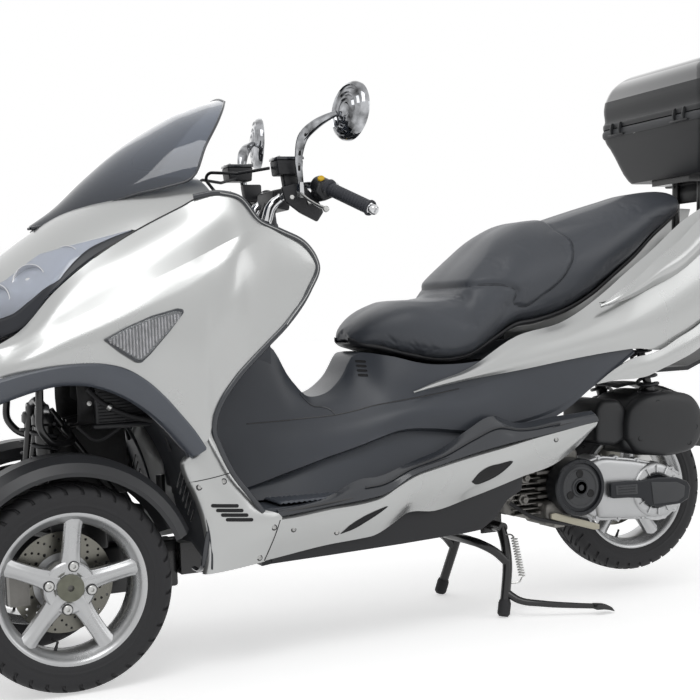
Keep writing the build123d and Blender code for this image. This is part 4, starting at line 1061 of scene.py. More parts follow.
def spokeMesh():
    # radius, half width, top height and depth at each station
    stations = flow([(30, 27, 27, 20), (46, 26, 28, 22), (62, 22.5, 28, 24), (90, 20, 29, 24),
                     (118, 19.5, 31, 22), (140, 20, 34, 20), (152, 21.5, 36, 20), (160, 25, 37, 18)], 4)
    grid = []
    for r, w, h, d in stations:
        cut = [(-w, h - d), (-w, h - 6), (-w + 0.8, h - 4), (-w * 0.86, h - 2.8), (-w * 0.68, h - 1.2),
               (-w * 0.5, h + 2), (-w * 0.26, h + 4.2), (0, h + 4.8), (w * 0.26, h + 4.2), (w * 0.5, h + 2),
               (w * 0.68, h - 1.2), (w * 0.86, h - 2.8), (w - 0.8, h - 4), (w, h - 6), (w, h - d),
               (-w, h - d)]
        grid.append([(r, y, z) for y, z in cut])
    return creased(gridMesh(grid), "spoke")


def discMesh():
    # drilled ring of a brake disc
    a, b, half = wheel["discIn"], wheel["discOut"], wheel["discHalf"]
    ring = welded(disk([(a, half), (b, half), (b, -half), (a, -half), (a, half)], 96), 1e-6)
    holes = []
    for k, (far, r) in enumerate(wheel["holes"]):
        drill = welded(disk([(0.01, 6), (r, 6), (r, -6), (0.01, -6)], 10), 2e-5)
        holes.append(turned(repeated(drill, wheel["holesRound"], far / 1000, "disc"), k * wheel["holesTurn"]))
    return carve(ring, join(holes))


def tyreMesh():
    # tread blocks are left standing between slanted cuts, repeated round the tyre
    half, crown, periods, depth = tread.values()
    outer = [(171, 51), (176, 55), (184, 60), (190, 62), (192, 63.4), (195, 63.4), (197, 63), (208, 64),
             (218, 63), (226, 60), (233, 54), (238, 44), (241.2, 31), (242.6, 16), (243, 0)]
    line = flow(outer + [(r, -h) for r, h in outer[-2::-1]], 4)
    normals = []
    for i in range(len(line)):
        a, b = line[max(i - 1, 0)], line[min(i + 1, len(line) - 1)]
        d = math.dist(a, b)
        normals.append((-(b[1] - a[1]) / d, (b[0] - a[0]) / d))
    marks = ((0.0, 0), (0.035, 1), (0.2, 1), (0.235, 0), (0.5, 0), (0.535, 2), (0.66, 2), (0.695, 0))
    rows = []
    for n in range(periods):
        for share, kind in marks:
            row = []
            for (r, h), (nr, nh) in zip(line, normals):
                reach = abs(h) / half
                angle = 2 * math.pi * (n + share + 1.25 * (1 - reach) ** 1.15) / periods
                shoulder = kind == 1 and 0.36 < reach and r > crown - 24
                middle = kind == 2 and 0.1 < reach < 0.62 and r > crown - 12
                cut = depth * 0.6 if reach < 0.03 else depth * (shoulder or middle)
                row.append((math.cos(angle) * (r - nr * cut), math.sin(angle) * (r - nr * cut), h - nh * cut))
            row += [(math.cos(angle) * 168, math.sin(angle) * 168, h) for h in (-50, 50)]
            row.append(row[0])
            rows.append(row)
    return creased(gridMesh(rows, loop=True), "tyre")


def rimMesh():
    # barrel, hub and spokes
    spoke = spokeMesh()
    spokes = [turned(spoke.copy(), 360 / wheel["spokes"] * k) for k in range(wheel["spokes"])]
    return turned(join([disk(rimShape, 128), disk(hubShape, 64)] + spokes), wheel["phase"])


def boltRing(profile, mat):
    # a part repeated at each wheel bolt
    unit = lifted(disk(profile, 24), wheel["boltSeat"])
    return turned(repeated(unit, wheel["bolts"], wheel["boltRing"], mat), wheel["boltTurn"])


def lifted(mesh, height):
    # along the part's own axis
    return move(mesh, Matrix.Translation((0, 0, height)))


boltShape = [(0.01, 3), (4.2, 3), (4.6, 9), (9, 9), (10.6, 7.6), (10.6, -2)]
nutShape = [(9, 3.6), (12.4, 3.6), (13, 3), (13, -3)]
capShape = [(7.6, 34), (7.6, 38.4), (28, 38.4), (31.5, 37), (32, 27)]
hatShape = [(30, -44), (52, -44), (56, -50), (70, -51), (72, -54), (72, -56)]
valve = disk([(0.01, 24), (2.6, 24), (3.2, 22), (3.2, 12), (4, 11), (4, 0)], 12)
units = {"rim": (rimMesh(), "wheel"), "cap": (disk(capShape, 48), "bronze"),
         "bolts": (boltRing(boltShape, "steel"), "steel"), "nutRings": (boltRing(nutShape, "frame"), "frame"),
         "valve": (turned(move(valve, onto((150, 0, 12), (-1, 0, 0.25))), -105), "rubber"),
         "tyre": (tyreMesh(), "rubber"), "disc": (lifted(discMesh(), wheel["discPlace"]), "disc"),
         "hat": (disk(hatShape, 48), "alloy")}
for body, centre, part in (("front_wheel_left", (-1000, -247, 243), "front_%s_left"),
                           ("front_wheel_right", (-1000, 247, 243), "front_%s_right"),
                           ("rear_wheel", (720, 0, 288), "rear_%s")):
    x, y, z = centre
    for key, (unit, mat) in units.items():
        mesh = move(unit.copy(), onto((x, -abs(y), z), (0, -1, 0)))
        if y > 0:
            move(mesh, Matrix.Scale(-1, 4, (0, 1, 0)))
        place(key + "_" + body, mesh, mat, body, [part % key] if key in ("rim", "tyre") else ())
for unit, mat in units.values():
    bpy.data.meshes.remove(unit)
print("wheels built")

# saddle

saddle = {
    "rows": [(-174, 58, 764, 780, 790), (-150, 98, 754, 798, 820), (-110, 130, 743, 818, 849),
             (-37, 168, 719, 837, 869), (68, 192, 700, 840, 872), (125, 196, 706, 849, 883),
             (152, 197, 715, 876, 917), (228, 192, 755, 928, 986), (292, 187, 785, 968, 1036),
             (349, 182, 791, 992, 1062), (466, 178, 821, 1016, 1077), (543, 174, 857, 1040, 1097),
             (623, 168, 909, 1060, 1118), (703, 160, 963, 1082, 1138), (774, 148, 1019, 1102, 1156),
             (843, 130, 1063, 1121, 1164), (886, 110, 1090, 1132, 1162), (904, 84, 1107, 1134, 1150)],
    "pad": [(447, 1043), (475, 1014), (467, 978), (433, 921), (361, 866), (301, 838), (268, 850), (273, 881),
            (244, 895), (171, 901), (70, 889), (40, 960), (180, 1120), (420, 1140)],
    "rise": 9.0,
    "groove": 3.2,
    "seam": 0.8,
    "swell": 0.008,
    "inset": 7.0,
    "voxel": 0.0058,
    "frames": 14,
    "smooth": 6,
    "pressure": 4.0,
    "quality": 4,
    "padEnd": 540,
    "padReach": 14,
    "padRamp": 16,
    "grooveWidth": 3.6,
    "seamWidth": 3.2,
    "seamLift": 30,
}


def seatGrid():
    # closed sections of the saddle, drawn in by the inset
    grid, inset = [], saddle["inset"]
    for x, w, low, edge, crown in flow(saddle["rows"], 5):
        w, low, edge, crown = w - inset, low + inset, edge - inset * 0.4, crown - inset
        cut = flow([(0, low), (w * 0.72, low), (w * 0.93, low + (edge - low) * 0.12),
                    (w, low + (edge - low) * 0.42), (w * 0.985, edge - (edge - low) * 0.14),
                    (w * 0.9, edge + (crown - edge) * 0.3), (w * 0.62, crown - (crown - edge) * 0.18),
                    (w * 0.3, crown), (0, crown)], 3)
        outline = cut + [(-y, z) for y, z in reversed(cut[1:-1])] + cut[:1]
        grid.append([(x, y, z) for y, z in outline])
    return grid


def capped(mesh):
    # the open ends closed
    made = bmesh.new()
    made.from_mesh(mesh)
    bmesh.ops.remove_doubles(made, verts=made.verts, dist=1e-5)
    bmesh.ops.holes_fill(made, edges=[e for e in made.edges if e.is_boundary], sides=0)
    bmesh.ops.recalc_face_normals(made, faces=made.faces)
    made.to_mesh(mesh)
    made.free()
    return mesh


def puffed(mesh):
    # a stuffed cover: cloth under pressure, held to a few millimetres of its pattern
    item = bpy.data.objects.new("puff", mesh)
    scene.collection.objects.link(item)
    grain = item.modifiers.new("remesh", "REMESH")
    grain.mode = "VOXEL"
    grain.voxel_size = saddle["voxel"]
    even = item.modifiers.new("even", "SMOOTH")
    even.iterations = saddle["smooth"]
    fine = evaluated(item)
    item.modifiers.clear()
    item.data = fine
    before = [v.co.copy() for v in fine.vertices]
    cloth = item.modifiers.new("cloth", "CLOTH")
    cloth.settings.use_pressure = True
    cloth.settings.uniform_pressure_force = saddle["pressure"]
    cloth.settings.effector_weights.gravity = 0.0
    cloth.settings.quality = saddle["quality"]
    for step in range(1, saddle["frames"] + 1):
        scene.frame_set(step)
    blown = evaluated(item)
    item.modifiers.clear()
    scene.frame_set(1)
    for old, vert in zip(before, blown.vertices):
        gap = vert.co - old
        if gap.length > saddle["swell"]:
            vert.co = old + gap * (saddle["swell"] / gap.length)
    item.data = blown
    done = item.data
    bpy.data.objects.remove(item)
    return done


def border(point, ring):
    # signed distance to a closed outline, negative inside
    x, z = point
    best, inside = 1e9, False
    for (ax, az), (bx, bz) in zip(ring, ring[1:] + ring[:1]):
        run = (bx - ax, bz - az)
        t = max(0.0, min(1.0, ((x - ax) * run[0] + (z - az) * run[1]) / (run[0] ** 2 + run[1] ** 2)))
        best = min(best, math.hypot(x - ax - run[0] * t, z - az - run[1] * t))
        if (az > z) != (bz > z) and x < ax + (z - az) * run[0] / run[1]:
            inside = not inside
    return -best if inside else best


cover = puffed(capped(gridMesh(seatGrid())))
padLine = flow(saddle["pad"][:11], 5)
padRing = padLine + saddle["pad"][11:]
normals = [v.normal.copy() for v in cover.vertices]
for vert, outward in zip(cover.vertices, normals):
    x, y, z = (c * 1000 for c in vert.co)
    if 0 < x < saddle["padEnd"] and outward.z > -0.5:
        gap = border((x, z), padRing)
        if gap < saddle["padReach"]:
            lift = max(0.0, min(1.0, (2 - gap) / saddle["padRamp"]))
            lift = lift * lift * (3 - 2 * lift) * saddle["rise"]
            lift -= saddle["groove"] * math.exp(-(gap / saddle["grooveWidth"]) ** 2)
            vert.co += outward * lift / 1000
    edge = along([(r[0], r[2]) for r in saddle["rows"]], x) + saddle["seamLift"]
    if abs(z - edge) < 12 and abs(y) > 60 and -150 < x < 860:
        vert.co += outward * (-saddle["seam"] * math.exp(-((z - edge) / saddle["seamWidth"]) ** 2)) / 1000
cover.shade_smooth()
seatItem = place("saddleCover", cover, "vinyl", "seat", ["seat"])
finer = seatItem.modifiers.new("finer", "SUBSURF")
finer.levels = finer.render_levels = 1
seatSkin = skinOf(seatItem)


def onSeat(x, z, side, off):
    # the place on the cover that is seen from this side
    hit, normal = seatSkin.ray_cast(Vector((x, side * 400, z)) / 1000, Vector((0, -side, 0)))[:2]
    return tuple((hit + normal * off / 1000) * 1000) if hit else None


for name, line, radius in (("padSeam", padLine, 1.5),
                           ("padSeamInner", [(x - 3.5, z + 4) for x, z in padLine[:-5]], 0.8)):
    for side, tag in ((-1, "Left"), (1, "Right")):
        stitches = [p for p in (onSeat(x, z, side, -0.2) for x, z in line) if p]
        tube(name + tag, stitches, radius, "vinylDark", "seat", along=2, sides=6)
pan = [[(x, y, z + dz) for y, dz in ((-w, 6), (-w, -4), (-w * 0.9, -8), (w * 0.9, -8), (w, -4), (w, 6))]
       for x, w, z in [(r[0] + 3, r[1] * 0.76, r[2] + 8) for r in flow(saddle["rows"], 4)]]
sheet("saddlePan", pan, "black", 0.003, body="seat", turn=True)
print("saddle built")

# handlebar

grip = {"near": (-285, -215, 1163), "outer": (-228, -345, 1100)}
gripDir = Vector(grip["outer"]) - Vector(grip["near"])
gripLong = gripDir.length
k = gripLong
gripShape = [(14.5, gripLong + 2), (19.5, gripLong + 1), (20.5, gripLong - 3), (19, gripLong - 6)]
while k > 22:
    gripShape += [(17.4, k - 8), (16.6, k - 9.5), (16.6, k - 11), (17.4, k - 12.5)]
    k -= 10
gripShape += [(18, 14), (23, 10), (24, 5), (22, 0), (14, -1)]
endShape = [(0.01, 24), (4, 24), (4.4, 19), (8, 20), (11, 18), (13, 14), (13, 6), (11, 4), (11, 2), (15, 0),
            (15, -3)]
for name, shape, start, mat in (("gripLeft", gripShape, "near", "grip"),
                                ("barEnd", endShape, "outer", "chrome")):
    pair(name + "Pair", [spun(shape, 40, grip[start], gripDir)], mat, "handlebar")
barLine = [(-352, -60, 1150), (-340, -110, 1166), (-318, -160, 1174), (-285, -215, 1163), (-228, -345, 1100)]
full = barLine[::-1] + [(x, -y, z) for x, y, z in barLine]
tube("barTube", full, bars["handlebar"], "chrome", "handlebar", ["handlebar"], along=5, sides=16)
tube("steeringColumn", [(-402, 0, 1060), (-372, 0, 1110), (-352, 0, 1148)], bars["column"], "black",
     "handlebar", along=3, sides=20)
clampPart = block([(-378, 1128), (-330, 1118), (-322, 1160), (-340, 1178), (-372, 1172)], -62, 62, 5, 3)
place("barClamp", clampPart, "black", "handlebar")
bracket = block([(-399, 1168), (-347, 1181), (-300, 1135), (-287, 1104), (-305, 1079), (-351, 1102),
                 (-390, 1131)], -191, -179, 4, 2)
pair("switchBrackets", [bracket], "black", "handlebar")
joints = [spun([(0.01, 8), (6, 8), (8, 5), (8, -8)], 6, c, (-0.2, -1, 0.3))
          for c in ((-352, -188, 1156), (-326, -190, 1128), (-372, -186, 1140))]
pair("leverPivots", joints, "steel", "handlebar")
risers = [(-396, 60, 1090), (-380, 60, 1130), (-352, 60, 1152)]
tube("barRisers", risers, bars["riser"], "chrome", "handlebar", along=5, mirror=True, sides=14)


def reservoir(x, y, z):
    # tub, lid and screws of a fluid reservoir
    tub = block([(x - 34, z - 22), (x + 30, z - 22), (x + 34, z + 16), (x - 38, z + 16)], y - 27, y + 27, 4,
                3)
    cap = block([(x - 40, z + 16), (x + 36, z + 16), (x + 35, z + 24), (x - 38, z + 24)], y - 29, y + 29, 2.5)
    bolts = [move(screw(3.4), onto((x + dx, y + dy, z + 24.2), (0, 0, 1))) for dx in (-30, 27)
             for dy in (-21, 21)]
    return tub, cap, bolts


for name, x, y, z in (("Left", -366, -152, 1222), ("Right", -392, 150, 1236)):
    tub, cap, bolts = reservoir(x, y, z)
    merge("reservoir" + name, [tub], "black", "handlebar", ["hand_controls"] if y < 0 else ())
    merge("reservoirLid" + name, [cap], "darkGloss", "handlebar")
    merge("reservoirScrews" + name, bolts, "steel", "handlebar")
    neck = block([(-378, 1160), (-330, 1158), (-330, 1206), (-384, 1206)], y - 14, y + 14, 5, 2)
    place("masterCylinder" + name, neck, "black", "handlebar")
housing = move(disk([(0.01, 30), (17, 30), (22, 27), (24.5, 20), (25, 0), (24.5, -18), (21, -24), (12, -26)],
                    28), onto((-292, -200, 1166), gripDir))
lug = block([(-312, 1176), (-268, 1168), (-262, 1142), (-300, 1128), (-322, 1150)], -226, -184, 6, 3)
pair("switchHousings", [housing, lug], "black", "handlebar")
button = spun([(0.01, 7), (7.5, 7), (9, 5), (9, -4)], 16, (-300, -212, 1184), (-0.3, -0.7, 0.65))
place("signalButton", button, "yellow", "handlebar")
other = spun([(0.01, 4), (5, 4), (6, 2), (6, -4)], 16, (-262, -224, 1168), (0.7, -0.35, 0.6))
place("hornButton", other, "alloy", "handlebar")
lever = [(-345, -175, 1158), (-352, -206, 1148), (-350, -236, 1134), (-338, -268, 1116), (-326, -292, 1104)]
tube("leverLeft", lever, lambda t: 9.5 - 2.6 * math.sin(t * 3.0), "steel", "handlebar", flat=0.55,
     mirror=True, sides=12)
tip = spun([(0.01, 7), (5, 6), (7.5, 3), (7.5, -3), (5, -6), (0.01, -7)], 16, (-325, -294, 1103),
           (0, -1, 0.3))
pair("leverTips", [tip], "steel", "handlebar")

# mirrors: slotted stem, dished chrome back with painted reflections in dark and pale patches, glass
headShape = [(0.01, 16), (17, 15), (19, 11), (26, 10), (28, 14), (34, 13), (38, 8), (42, 7.5), (45, 11),
             (52, 10), (56, 5), (61, 4), (64, 7), (70, 3), (74, -4), (74, -12), (72, -14)]
glassShape = [(0.01, 12), (70, 12), (72, 11)]
stemLine = [(-352, 200, 1172), (-358, 214, 1248), (-350, 226, 1288), (-330, 255, 1314), (-306, 284, 1330),
            (-288, 304, 1338)]
for side, tag, y, facing in ((-1, "Left", -322, (-0.97, -0.18, 0.14)),
                             (1, "Right", 340, (-0.985, 0.2, 0.06))):
    back = spun(headShape, 64, (-266, y, 1342), facing)
    place("mirrorBack" + tag, back, "mirrorBack", "handlebar", ["mirrors"] if side < 0 else ())
    front = onto((-266, y, 1342), [-v for v in facing])
    place("mirrorGlass" + tag, move(disk(glassShape, 64), front), "mirror", "handlebar")
    line = [(x, side * y, z) for x, y, z in stemLine]
    tube("mirrorStem" + tag, line, lambda t: 12 - 3 * math.cos(t * 6.28), "mirrorBack", "handlebar", along=8,
         flat=0.62, sides=16)
    tube("mirrorFoot" + tag, [(-352, side * 198, 1140), (-352, side * 200, 1160), (-352, side * 200, 1178)],
         lambda t: 12 - 3 * t, "chrome", "handlebar", along=3, sides=6)
    # the stem slots' near-black floors are a painted shade
    slotsCut = [move(slot(20, 6), onto((x - 2, side * (y + 1) - 6.5, z), (-0.1, -1, 0), turn))
                for x, y, z, turn in ((-357, 207, 1215, 88), (-357, 216, 1252, 84), (-344, 236, 1296, 52))]
    merge("stemSlots" + tag, slotsCut, "hollow", "handlebar")
print("handlebar built")


# front suspension and what fills the arch behind it

shock = {"low": (-1000, 104, 174.5), "top": (-1000, 62, 640)}
strut = spun([(9, 470), (9, 462), (24, 460), (28, 452), (28, 436), (22, 430), (22, 300), (26, 296), (29, 290),
              (29, 284), (20, 280), (16, 276), (16, 210), (20, 206), (27, 200), (29, 190), (29, 182),
              (20, 178), (19, 60), (12, 52), (9, 46), (9, 6)], 32, shock["low"],
             Vector(shock["top"]) - Vector(shock["low"]))
pair("frontShockBodies", [strut], "frame", nodes=["front_shocks"])
spring = coilLine(between(shock["low"], shock["top"], 0.42), between(shock["low"], shock["top"], 0.93), 30, 8)
tube("frontSprings", spring, bars["frontSpring"], "black", along=1, mirror=True, sides=8)
eyeShape = [(8.5, 15), (15, 15), (17, 12), (17, -12), (15, -15), (8.5, -15)]
eyes = [spun(eyeShape, 24, end, (1, 0, 0)) for end in (shock["low"], shock["top"])]
pair("shockEyes", eyes, "alloy")
carrier = [block(box(-1108, -672, 168, 288), -40, 40, 8, 3),
           block([(-1104, 280), (-846, 280), (-846, 404), (-860, 418), (-1104, 418)], -38, 38, 8, 3),
           block([(-850, 280), (-745, 280), (-745, 380), (-850, 404)], -13, 13, 4, 2)]
merge("carrierBeam", carrier, "frame", nodes=["front_carrier"])
for k, (a, b) in enumerate((((-1040, 28, 412), (-1004, 52, 652)), ((-960, 28, 412), (-996, 52, 652)),
                            ((-820, 26, 412), (-980, 48, 640)))):
    tube("towerTube%d" % k, [a, between(a, b, 0.5), b], bars["tower"], "frame", mirror=True, sides=14)
tube("towerTop", [(-1000, -58, 652), (-1000, 0, 662), (-1000, 58, 652)], bars["towerTop"], "frame", sides=14)
hoop = [(-1034, 214, 716), (-1036, 214, 660), (-1036, 214, 606), (-1018, 206, 580), (-960, 150, 566),
        (-940, 96, 572), (-950, 34, 604)]
tube("archHoops", hoop, bars["hoop"], "frame", along=8, mirror=True, sides=14)
innerCut = ((112, 748), (124, 726), (128, 660), (112, 612), (60, 602), (14, 600))
inner = [[(x, y + 4 * math.sin(k * 2.1 + z / 30), z) for y, z in innerCut]
         for k, x in enumerate((-928, -900, -872, -844, -816, -800, -790, -780))]
wall = block([(-990, 416), (-778, 416), (-778, 480), (-786, 606), (-990, 606)], -8, 8, 3, 2)
place("innerWall", wall, "grime")
sheet("innerShield", inner, "grime", 0.004, mirror=True)
core = [block(box(-890, -764, 600, 712), 126, 150, 4)]
core += [block(box(-884, -770, z, z + 2.5), 148, 156, 0.6, 1) for z in range(606, 703, 8)]
core.append(block(box(-898, -756, 592, 604), 122, 158, 4))
pair("heatCores", core, "black")
hoses = {"hoseA": [(-905, 140, 690), (-872, 158, 654), (-820, 170, 624), (-776, 172, 610), (-752, 172, 604)],
         "hoseB": [(-930, 120, 600), (-890, 148, 566), (-840, 150, 588), (-780, 140, 640), (-730, 150, 610)],
         "hoseC": [(-760, 120, 720), (-748, 176, 660), (-734, 190, 580), (-722, 194, 530)]}
for name, line in hoses.items():
    tube(name, line, 6.5 if name == "hoseA" else 4.5, "rubber", along=8, mirror=True)
nuts = [move(screw(6.5), onto(c, (0, 1, 0)))
        for c in ((-900, 130, 655), (-842, 152, 724), (-748, 132, 655), (-900, 9, 520), (-840, 9, 480),
                  (-735, 132, 700))]
clamps = [spun([(7, 5), (9.5, 5), (9.5, -5), (7, -5)], 20, c, n)
          for c, n in (((-858, 162, 645), (0.7, 0.2, -0.6)), ((-744, 178, 640), (0.2, 0.3, -0.9)))]
pair("archNuts", nuts + clamps, "steel")
print("front suspension built")

# engine side

fan = (437, -196, 333)
ring = disk([(0.01, 14), (6, 14), (8, 16), (20, 16), (22, 13), (25, 12), (27, 9), (50, 9), (53, 12), (57, 12),
             (63, 8), (66, 8), (68, 13), (77, 13), (80, 9), (80, -40)], 72)
place("fanCover", move(ring, onto(fan, (0, -1, 0))), "fanBlack", nodes=["fan_cover"])
ticks = [dialled(block(box(70, 75, -0.7, 0.7), 0, 1.2, 0.3, 1), -15 * k, fan, -14.4) for k in range(24)]
merge("fanTicks", ticks, "frame")
# the fan cover's holes are near-black shallow dishes, a painted shade
holes = [spun([(0.01, 0.6), (8, 0.6), (9.5, 1.6), (11, 1.2), (11.5, -1)], 20,
              (fan[0] + 38 * math.cos(t), -206, fan[2] + 38 * math.sin(t)), (0, -1, 0))
         for t in map(math.radians, (90, 210, 330))]
face = disk([(0.01, 17), (5, 17), (7, 16), (17, 16), (19, 14), (26, 13.2), (28, 9.8), (49, 9.8), (52, 12.8),
             (57, 12.8), (58, 10)], 64)
place("fanFace", move(face, onto(fan, (0, -1, 0))), "casePale")
merge("fanHoles", holes, "hollow")

clutch = (697, -187, 301)
collar = disk([(46, 8), (50, 12), (56, 14), (68, 13), (74, 9), (77, 2), (78, -8)], 72)
ribs = [dialled(block(box(50, 72, -1.4, 1.4), 5, 11, 1, 1), 30 * k, clutch, -24) for k in range(12)]
merge("clutchCover", [move(collar, onto(clutch, (0, -1, 0)))] + ribs, "alloy")
drum = disk([(0.01, 14), (20, 14), (24, 11), (38, 10), (44, 13), (46, 8), (46, -6)], 64)
place("clutchDrum", move(drum, onto(clutch, (0, -1, 0))), "fanBlack")
edge = [(478, 394), (520, 404), (580, 398), (650, 386), (715, 369), (770, 350), (794, 332), (797, 296),
        (799, 262), (772, 238), (738, 221), (660, 224), (580, 230), (505, 239)]
bossShape = [(0.01, 9), (4.5, 9), (5, 4), (8.5, 4), (10, 2), (10.5, -22)]
bolts = [spun(bossShape, 16, (x, -171, z), (0, -1, 0)) for x, z in edge[1:]]
merge("coverBolts", bolts, "alloy")
tube("coverFlange", [(x, -172, z) for x, z in edge + edge[:1]], bars["flange"], "alloy", along=4, flat=0.8,
     sides=10)
dome("coverDome", flow(edge, 4), (640, 312),
     ((1.0, -166), (0.995, -176), (0.97, -183), (0.93, -187), (0.85, -189), (0.7, -190), (0.45, -190.5),
      (0.2, -191), (0.01, -191)), "alloy")
bar = [(534, 332), (540, 338), (590, 338), (636, 334), (660, 337), (700, 338), (760, 332), (796, 318),
       (806, 300), (798, 268), (770, 256), (690, 254), (660, 262), (640, 284), (590, 290), (542, 292),
       (534, 298)]
place("coverBar", block(bar, -212, -192, 6, 4), "fanBlack")
inset = [block([(548, 328), (622, 326), (622, 298), (550, 302)], -214, -210, 2.5, 2),
         block([(668, 328), (756, 320), (784, 306), (780, 276), (758, 264), (674, 264)], -215, -210, 4, 3)]
merge("coverInset", inset, "casePale")
rows = [block([(556, 306 + 8 * k), (616, 304 + 8 * k), (616, 306.5 + 8 * k), (556, 308.5 + 8 * k)], -215.5,
              -213, 1, 1) for k in range(3)]
merge("coverInsetRibs", rows, "fanBlack")
cream = block([(350, 266), (364, 268), (506, 222), (505, 208), (488, 208), (350, 252)], -192, -182, 2.5, 2)
place("lowerLink", cream, "cream")
under = [(-491, 232), (-328, 236), (-131, 242), (60, 250), (106, 254), (150, 280), (190, 326), (234, 347),
         (240, 392), (80, 372), (-128, 330), (-300, 290), (-480, 272)]
skid = block(under, 226, 234, 3, 2)
pair("underPanels", [skid], "black")

fins = [block(box(262 - 2 * k, 352, 262 + 14 * k, 266 + 14 * k), -138, 60, 1.2, 1) for k in range(9)]
merge("cylinderFins", fins, "greasy")
lumps = [block([(236, 268), (276, 262), (280, 392), (244, 388), (232, 340)], -128, 50, 9, 3),
         block([(330, 386), (470, 392), (474, 430), (440, 446), (346, 440)], -150, -70, 14, 4),
         block([(340, 232), (420, 226), (430, 262), (372, 300), (344, 290)], -176, -60, 10, 3)]
for spot in ((292, -142, 306), (300, -142, 366), (250, -132, 320)):
    plug = disk([(0.01, 14), (8, 14), (10, 11), (10, 4), (16, 3), (17, -4)], 6)
    lumps.append(move(plug, onto(spot, (0, -1, 0))))
merge("crankLumps", lumps, "greasy")
pipes = {"fuelPipe": [(270, -150, 400), (330, -166, 424), (420, -150, 456), (510, -120, 470)],
         "wirePipe": [(250, -140, 300), (300, -168, 262), (380, -182, 238), (470, -176, 224)],
         "ventPipe": [(300, -120, 440), (360, -150, 470), (440, -150, 490), (520, -140, 500)]}
for name, line in pipes.items():
    tube(name, line, 5.5 if name == "wirePipe" else 4.5, "rubber", along=8)

shell = block([(622, 420), (630, 470), (640, 528), (672, 566), (738, 582), (840, 572), (884, 520), (886, 440),
               (850, 398), (760, 388), (668, 398)], -150, 54, 24, 5)
place("airBoxShell", shell, "case", nodes=["air_box"])
outline = flow([(630, 448), (630, 490), (644, 534), (676, 562), (738, 574), (806, 572), (862, 556),
                (892, 516), (896, 454), (870, 410), (800, 390), (720, 394), (660, 410), (630, 448)], 5)[:-1]
dome("airBoxLid", outline, (762, 482), ((1.0, -138), (1.0, -150), (0.985, -158), (0.95, -165), (0.88, -170),
                                        (0.7, -174), (0.4, -176), (0.01, -177)), "case")
duct = block([(536, 440), (542, 540), (560, 566), (620, 562), (644, 530), (640, 446), (600, 430)], -146, 40,
             18, 5)
place("airDuct", duct, "case")
# the air box's holes are near-black shallow dishes, a painted shade
dots = [spun([(0.01, 1), (5.5, 1), (7, 2.4), (8.4, 1.6), (8.4, -6)], 16, (x, -171, z), (0, -1, 0))
        for x, z in ((732, 546), (860, 468), (668, 448), (836, 424))]
merge("airBoxHoles", dots, "hollow")
rear = {"low": (780, 118, 400), "top": (700, 126, 745)}
pole = spun([(9, 350), (9, 330), (26, 326), (28, 318), (12, 312), (12, 200), (17, 196), (17, 60), (26, 54),
             (28, 44), (14, 36), (12, 4)], 28, rear["low"], Vector(rear["top"]) - Vector(rear["low"]))
pair("rearShockBodies", [pole], "frame", nodes=["rear_shocks"])
tube("rearSprings", coilLine(between(rear["low"], rear["top"], 0.14), between(rear["low"], rear["top"], 0.92),
                             29, 11), bars["rearSpring"], "black", along=1, mirror=True, sides=8)
print("engine side built")

# stand, silencer and plate

leg = [(235, 112, 230), (234, 130, 196), (226, 154, 140), (208, 172, 72), (196, 181, 30), (192, 184, 14)]
tube("standLegs", leg, bars["leg"], "frame", "centre_stand", ["centre_stand"], mirror=True, sides=18)
tube("standFeet", [(200, 178, 46), (196, 181, 30), (191, 184, 12), (189, 185, 2.6)],
     lambda t: 17.5 - 5.5 * max(0.0, t * 4 - 3) - 3 * max(0.0, 1 - t * 6), "rubber", "centre_stand",
     mirror=True, sides=18)
tube("standBridge", [(224, -156, 142), (196, -144, 172), (164, -118, 194), (152, -80, 200), (150, 0, 200),
                     (152, 80, 200), (164, 118, 194), (196, 144, 172), (224, 156, 142)], bars["bridge"],
     "frame", "centre_stand", along=5, sides=16)
tube("standPivot", [(235, -124, 232), (235, 0, 232), (235, 124, 232)], bars["pivot"], "frame", "centre_stand",
     along=2, sides=20)
tube("standLever", [(206, -174, 66), (228, -204, 46), (280, -240, 36), (350, -272, 28), (424, -304, 22)],
     lambda t: 11 - 4 * t, "frame", "centre_stand", flat=0.8, sides=14)
pedal = block([(402, 16), (428, 14), (446, 10), (462, 4), (452, 18), (434, 28), (404, 32)], -318, -290, 3, 2)
place("standPedal", pedal, "frame", "centre_stand")
tube("standSpring", coilLine((248, -158, 208), (252, -186, 104), 8, 15, 10), bars["standSpring"], "steel",
     "centre_stand", along=1, sides=6)
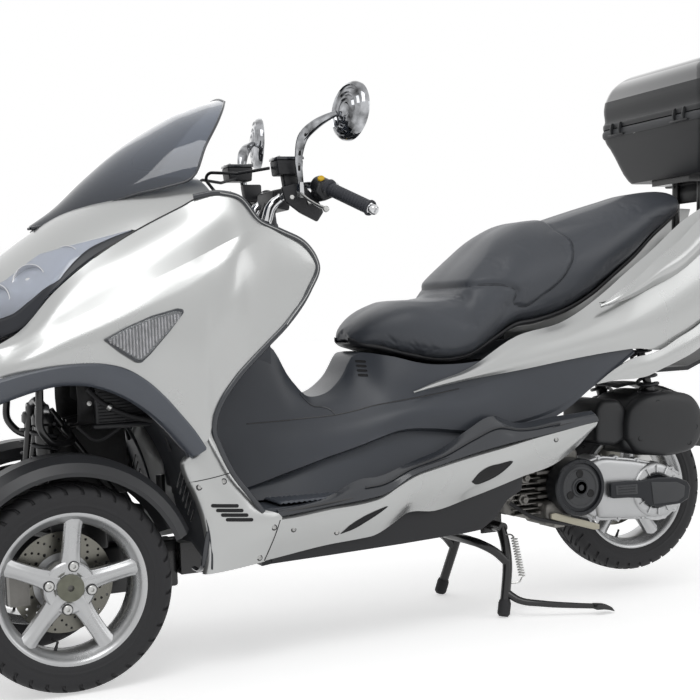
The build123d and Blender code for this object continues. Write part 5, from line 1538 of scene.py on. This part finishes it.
for tag, line in (("Top", [(236, -132, 214), (246, -150, 214), (248, -158, 208)]),
                  ("Low", [(252, -186, 104), (246, -184, 92), (222, -172, 88)])):
    tube("springHook" + tag, line, bars["hook"], "steel", "centre_stand", along=4, sides=6)
can = [(0.01, 372), (20, 372), (22, 362), (44, 362), (52, 368), (62, 366), (66, 356), (66, 24), (62, 10),
       (34, -8), (22, -30), (21, -44)]
place("silencerShell", spun(can, 64, (700, 180, 300), (0.93, 0.05, 0.36)), "steel", nodes=["exhaust"])
tube("exhaustPipe", [(350, 130, 250), (430, 148, 252), (520, 168, 262), (610, 176, 272), (680, 180, 292)],
     bars["exhaust"], "steel", along=8, sides=20)
guard = 68
heat = [[(700 + 0.93 * s, 180 + guard * math.sin(t) + 0.05 * s, 300 + 0.36 * s + guard * math.cos(t) * 0.93)
         for t in map(math.radians, range(20, 141, 10))] for s in (60, 120, 200, 280, 320)]
sheet("heatGuard", heat, "black", 0.002, turn=True)
plate = block(box(1152, 1156, 560, 700), -95, 95, 1, 1)
place("plateBlank", plate, "alloy")
tube("matEdges", [(-472, 292, 366), (-350, 296, 378), (-252, 296, 386), (-200, 296, 392), (-121, 296, 434),
                  (-41, 297, 455), (60, 299, 476), (141, 300, 490), (225, 301, 503), (318, 303, 518),
                  (420, 301, 530)], bars["mat"], "label", mirror=True, sides=6)
mat = [[(x, y, 384 + 3.4 * (k % 2)) for y in (118, 150, 200, 250, 282)]
       for k, x in enumerate(range(-476, -210, 7))]
sheet("floorMats", mat, "archTrim", 0.003, mirror=True)
arch = {"x": 720, "z": 288, "radius": 312, "crown": 0.0006}
hugger = [[(arch["x"] + arch["radius"] * math.cos(t), y,
            arch["z"] + arch["radius"] * math.sin(t) - arch["crown"] * y * y)
           for y in (-84, -60, -20, 20, 60, 84)] for t in map(math.radians, range(18, 103, 6))]
sheet("rearHugger", hugger, "black", 0.004, turn=True)
cowl = [block([(1004, 1128), (1036, 1136), (1120, 1150), (1200, 1166), (1200, 1198), (1010, 1198),
               (1000, 1160)], -62, 62, 6, 3), block(box(1000, 1254, 1182, 1204), -120, 120, 5, 3)]
merge("rackCowl", cowl, "case")
print("stand and silencer built")
